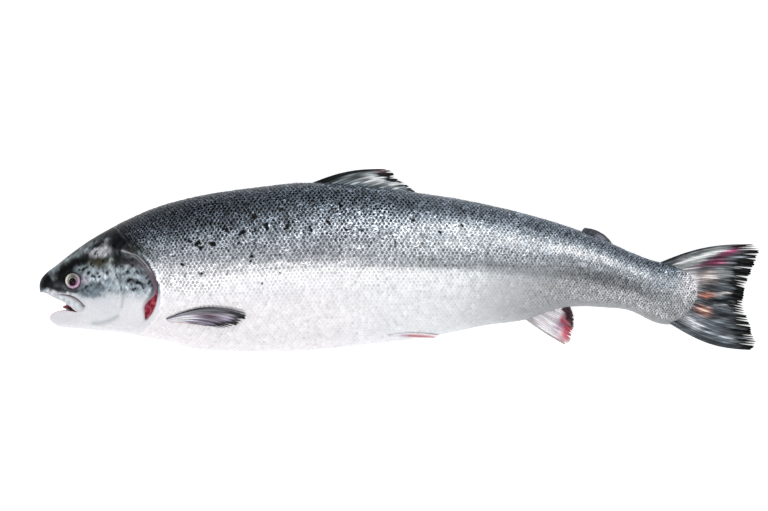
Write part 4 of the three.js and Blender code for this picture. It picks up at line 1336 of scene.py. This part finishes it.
# %% Tail fin
TAIL_ROOT = [[661, 1], [676, -2], [690, -6], [699, -12], [703, -20], [703, -28], [699, -38], [691, -50],
             [680, -60]]
TAIL_EDGE = [[776, 25.2], [781.5, 20.5], [777.8, 5.5], [773, -5.2], [767.5, -19.2], [764, -34.2],
             [765.4, -47.2], [771, -60.2], [774.5, -73.1], [778, -84.5], [771.5, -90.4]]
TAIL_PATCHES = [
    # along, up, half length, half height, turn, colour, strength
    [706, -14, 9, 16, 0, "dcd9dd", 0.9],
    [703, 6, 15, 6, 20, "e6ebe9", 0.95],
    [728, 15, 18, 4.5, 20, "dce0df", 0.85],
    [747.5, 16, 20, 3.6, 22, "8e3560", 0.8],
    [734, 5.2, 14, 3.8, 5, "6e2040", 0.8],
    [716, 2, 10, 1.2, 14, "9a4a6c", 0.6],
    [725, -10.4, 11, 6.5, 0, "dccac5", 0.85],
    [744, -8, 17, 8, 5, "878b8e", 0.6],
    [757, 9, 12, 5, 10, "767b82", 0.6],
    [722.5, -30, 8, 3.2, 0, "ee9f88", 0.9],
    [719, -47.4, 9, 5, -20, "dc9c8d", 0.9],
    [741, -35.6, 25, 2.7, 3, "0c0e10", 0.97],
    [741, -28.4, 15, 1.2, 2, "f2ebe8", 0.85],
    [746, -40.9, 16, 1.3, 3, "ccd0d3", 0.85],
    [741, -52, 15, 4, -8, "26292c", 0.7],
    [726, -65, 24, 9, -28, "6d737b", 0.8],
    [707, -60, 12, 5, -32, "c6c9ce", 0.85],
    [747, -77, 19, 1.8, -20, "aeb4ba", 0.75],
    [760, -64, 9, 20, 0, "15171a", 0.85],
    [767, -84, 12, 4, -8, "17191c", 0.8],
    [774, 16, 7, 9, 0, "25282c", 0.75],
    [763, -16, 8, 17, 0, "181a1d", 0.85],
]


def tail_paint(x, y, u, v, tone, ridge):
    colour = np.broadcast_to(linear("4d5358"), (*x.shape, 3))
    colour = airbrush(colour, x + 1.2 * wobble(x, y, 6, 91), y + 0.7 * wobble(x, y, 6, 92), TAIL_PATCHES, 1.2)
    colour = mixed(colour, "2b3034", 0.85 * np.exp(-(u / 0.022) ** 2))
    colour = mixed(colour, "1f2326", 0.8 * np.exp(-((1 - u) / 0.02) ** 2))
    colour = streaked(colour, tone + 0.8 * wobble(x / 5, y * 1.6, 3, 94), ridge, 0.6, 0.35)
    return mixed(colour, "060708", 0.97 * ease((v - 0.74 - 0.07 * tone) / 0.12))


def tail_height(x, y, u, v):
    """From the middle of the flesh's end down to the table, in a shallow wave."""
    return 8.5 * (1 - ease(v * 1.15)) + 2.0 + 0.9 * np.sin(9 * u + 2) * v


rays_of("tail_fin", "caudal_fin", TAIL_ROOT, TAIL_EDGE, 46, 8.0, tail_height, (5.0, 1.3), tail_paint,
        101, 24, 0.22)

# %% [markdown]
# ## Fins of the back
# The dorsal fin lies half folded, its rays swept back almost level; the first ones are black, then white and
# grey rays alternate, with a dark red bruise near the tip. The adipose fin behind it is a fleshy lobe with no
# rays, so its surface is smooth.


# %% Dorsal and adipose fins
def above_back(rows):
    """Rows of [place, height above the back] as points of the side view."""
    rows = np.array(rows, float)
    return np.column_stack([rows[:, 0], back_at(rows[:, 0]) + rows[:, 1]])


DORSAL_ROOT = above_back([[290, -1.2], [310, -1.8], [335, -2.2], [360, -2.4], [384, -2.2], [397, -1.5]])
DORSAL_EDGE = above_back([[372, 21.6], [381, 19.8], [384.5, 13.8], [392.6, 9.7], [399.6, 5.2], [405, 1.4]])


def dorsal_paint(x, y, u, v, tone, ridge):
    colour = np.broadcast_to(linear("868f94"), (*x.shape, 3))
    colour = mixed(colour, "dfe3e6", 0.7 * np.exp(-((u - 0.45) / 0.2) ** 2 - ((v - 0.55) / 0.25) ** 2))
    colour = mixed(colour, "5a6668", 0.6 * np.exp(-(v / 0.18) ** 2))
    colour = mixed(colour, "0a0b0c", 0.96 * (1 - ease((u - 0.1) / 0.08)))
    colour = mixed(colour, "363c3e", 0.75 * np.exp(-((u - 0.17) / 0.07) ** 2) * ease((v - 0.2) / 0.3))
    colour = streaked(colour, tone, ridge, 0.85, 0.4)
    colour = mixed(colour, "0a0c0d", 0.92 * ease((v - 0.72 - 0.12 * tone) / 0.12))
    return mixed(colour, "5c1a24", 0.75 * np.exp(-((u - 0.17) / 0.09) ** 2 - ((v - 0.86) / 0.09) ** 2))


def drooping(droop):
    """The height of a fin of the back or belly: the body's middle at its root, and droop lower at its
    edge."""
    def height(x, y, u, v):
        return mid_at(x) - droop * v**2
    return height


rays_of("dorsal_fin_web", "dorsal_fin", DORSAL_ROOT, DORSAL_EDGE, 17, (5.2, 0.0), drooping(4.5), (4.2, 1.3),
        dorsal_paint, 102, 9, 0.2)
ADIPOSE_ROOT = above_back([[584.5, -1.5], [592, -1.8], [602, -1.8], [609, -1.5]])
ADIPOSE_EDGE = above_back([[590, 6.0], [600, 7.6], [609, 6.6], [616, 3.6], [619.3, 0.8]])


def adipose_paint(x, y, u, v, tone, ridge):
    colour = np.broadcast_to(linear("464c52"), (*x.shape, 3)) * (1 + 0.2 * wobble(x, y, 5, 93))[..., None]
    colour = mixed(colour, "b4b0bd", 0.8 * np.exp(-((u - 0.72) / 0.2) ** 2 - ((v - 0.45) / 0.25) ** 2))
    return mixed(colour, "23272a", 0.8 * ease((v - 0.8) / 0.15))


rays_of("adipose_fin_lobe", "adipose_fin", ADIPOSE_ROOT, ADIPOSE_EDGE, 4, (1.5, 0.0),
        drooping(2.5), (4.4, 1.8), adipose_paint, 103, 0, rows=24, per_ray=10)

# %% [markdown]
# ## Fin under the tail
# The anal fin stands from the belly in front of the tail's wrist. Its leading edge is a thick beige ray, its
# base white to lilac; the rear upper corner is almost black with blood, and its tips are split and pink.

# %% Anal fin
ANAL_ROOT = [[522, -55.0], [535, -50.8], [548, -46.6], [560, -42.0], [571, -38.6]]
ANAL_EDGE = [[568.5, -84.6], [572.8, -81.5], [576, -72], [577.8, -62], [577.2, -52], [574.5, -44.8]]


def anal_paint(x, y, u, v, tone, ridge):
    colour = np.broadcast_to(linear("e9e3e8"), (*x.shape, 3))
    colour = mixed(colour, "a98bac", 0.8 * np.exp(-((v - 0.62) / 0.16) ** 2 - ((u - 0.45) / 0.22) ** 2))
    colour = mixed(colour, "d98a96", 0.7 * ease((v - 0.6) / 0.25) * np.exp(-((u - 0.25) / 0.25) ** 2))
    slope = u + 0.45 * v + 0.05 * tone
    colour = mixed(colour, "9c2438", 0.92 * ease((v - 0.35) / 0.2) * np.exp(-((slope - 0.8) / 0.15) ** 2))
    colour = mixed(colour, "2a0a11", 0.97 * ease((v - 0.08) / 0.16) * ease((slope - 0.84) / 0.12))
    colour = streaked(colour, tone, ridge, 0.3, 0.2)
    red = ease((tone - 0.5) / 0.6) * ease((v - 0.65) / 0.2) * (1 - ease((u - 0.5) / 0.2))
    colour = mixed(colour, "b83a50", 0.6 * red)
    colour = mixed(colour, "97908a", 0.85 * np.exp(-(u / 0.055) ** 2))
    return mixed(colour, "f4eef0", 0.5 * ease((v - 0.93) / 0.05) * (1 - ease((u - 0.5) / 0.2)))


rays_of("anal_fin_web", "anal_fin", ANAL_ROOT, ANAL_EDGE, 20, (-1.2, 0.0),
        drooping(9), (4.0, 1.3), anal_paint, 104, 7, 0.12)

# %% [markdown]
# ## Paired fins
# The pectoral fins fold back against the shoulder. The left one shows: a black leading ray, a lilac web with
# wine-coloured streaks, a white root, a peach patch where it joins the belly, and a split black tip. The
# pelvic fins lie flat along the belly, and only a red streak tells them from it. The right fins are the same,
# pressed between the fish and the table.

# %% Pectoral and pelvic fins
PECTORAL_ROOT = [[140.2, -53.8], [140.8, -55.2], [142.0, -56.6], [144.0, -57.6]]
PECTORAL_EDGE = [[223.5, -46.8], [227, -50.2], [224, -54.8], [219.4, -58.3], [211.6, -62.2],
                 [203.3, -64.2], [192, -63.0], [176, -60.4]]
PELVIC_ROOT = [[375, -72.0], [375.6, -72.8], [376.4, -73.6]]
PELVIC_EDGE = [[428, -72.0], [429.8, -73.2], [428.5, -74.6], [420, -75.6]]


def pectoral_paint(x, y, u, v, tone, ridge):
    colour = np.broadcast_to(linear("85808f"), (*x.shape, 3))
    colour = mixed(colour, "dedbe6", 0.95 * np.exp(-(v / 0.42) ** 4) * ease((u - 0.14) / 0.12))
    colour = mixed(colour, "676b6c", 0.8 * np.exp(-((u - 0.10) / 0.09) ** 2) * ease((v - 0.1) / 0.2))
    colour = mixed(colour, "45242f", 0.8 * np.exp(-((u - 0.27) / 0.08) ** 2 - ((v - 0.58) / 0.2) ** 2))
    colour = mixed(colour, "5c4756", 0.6 * np.exp(-((u - 0.45) / 0.07) ** 2 - ((v - 0.7) / 0.16) ** 2))
    colour = streaked(colour, tone, ridge, 0.5, 0.32)
    colour = mixed(colour, "0c0e10", 0.96 * (1 - ease((u - 0.03) / 0.04)) * (1 - 0.5 * ease((v - 0.4) / 0.3)))
    dark_tip = ease((v - 0.76 - 0.05 * tone + 0.1 * u) / 0.16)
    colour = mixed(colour, "0d0f11", 0.93 * dark_tip * (1 - ease((u - 0.9) / 0.1)))
    return mixed(colour, "edc9bd", 0.8 * ease((u - 0.84) / 0.12))


def pelvic_paint(x, y, u, v, tone, ridge):
    colour = np.broadcast_to(linear("f1eef0"), (*x.shape, 3))
    colour = mixed(colour, "b59bb8", 0.8 * np.exp(-((v - 0.3) / 0.1) ** 2 - ((u - 0.35) / 0.3) ** 2))
    streak = np.exp(-((u - 0.4) / 0.22) ** 2) * ease((v - 0.3) / 0.15) * (1 - 0.5 * ease((v - 0.85) / 0.15))
    colour = mixed(colour, "a8283a", 0.85 * streak)
    return mixed(streaked(colour, tone, ridge, 0.12, 0.1), "f2c9cf", 0.4 * ease((v - 0.8) / 0.2))


def laid_back(side, off, lift):
    """The height of a folded fin: on the skin of its side, off by a little and lifting towards its tip."""
    def height(x, y, u, v):
        return over_skin(x, y, side, off + lift * v)
    return height


def lowered(points, drop):
    return np.array(points, float) + [0, -drop]


rays_of("left_pectoral_web", "left_pectoral_fin", PECTORAL_ROOT, PECTORAL_EDGE, 16, (8.6, 0.0),
        laid_back(1, 1.2, 2.4), (2.4, 1.3), pectoral_paint, 105, 11, 0.2)
rays_of("right_pectoral_web", "right_pectoral_fin", lowered(PECTORAL_ROOT, 7), lowered(PECTORAL_EDGE, 14), 16,
        (8.6, 0.0), laid_back(-1, 1.4, 0.3), (2.4, 1.3), pectoral_paint, 106, 8, 0.13)
rays_of("left_pelvic_web", "left_pelvic_fin", PELVIC_ROOT, PELVIC_EDGE, 8, (2.6, -1.6),
        laid_back(1, 0.5, 0.7), (1.4, 0.8), pelvic_paint, 107, 3, 0.1)
rays_of("right_pelvic_web", "right_pelvic_fin", PELVIC_ROOT, PELVIC_EDGE, 8, (2.6, -1.6),
        laid_back(-1, 1.4, 0.2), (2.2, 1.2), pelvic_paint, 108, 3, 0.1)

# %% [markdown]
# ## Close
# The scene's view layer is brought up to date.

# %% Finish
bpy.context.view_layer.update()
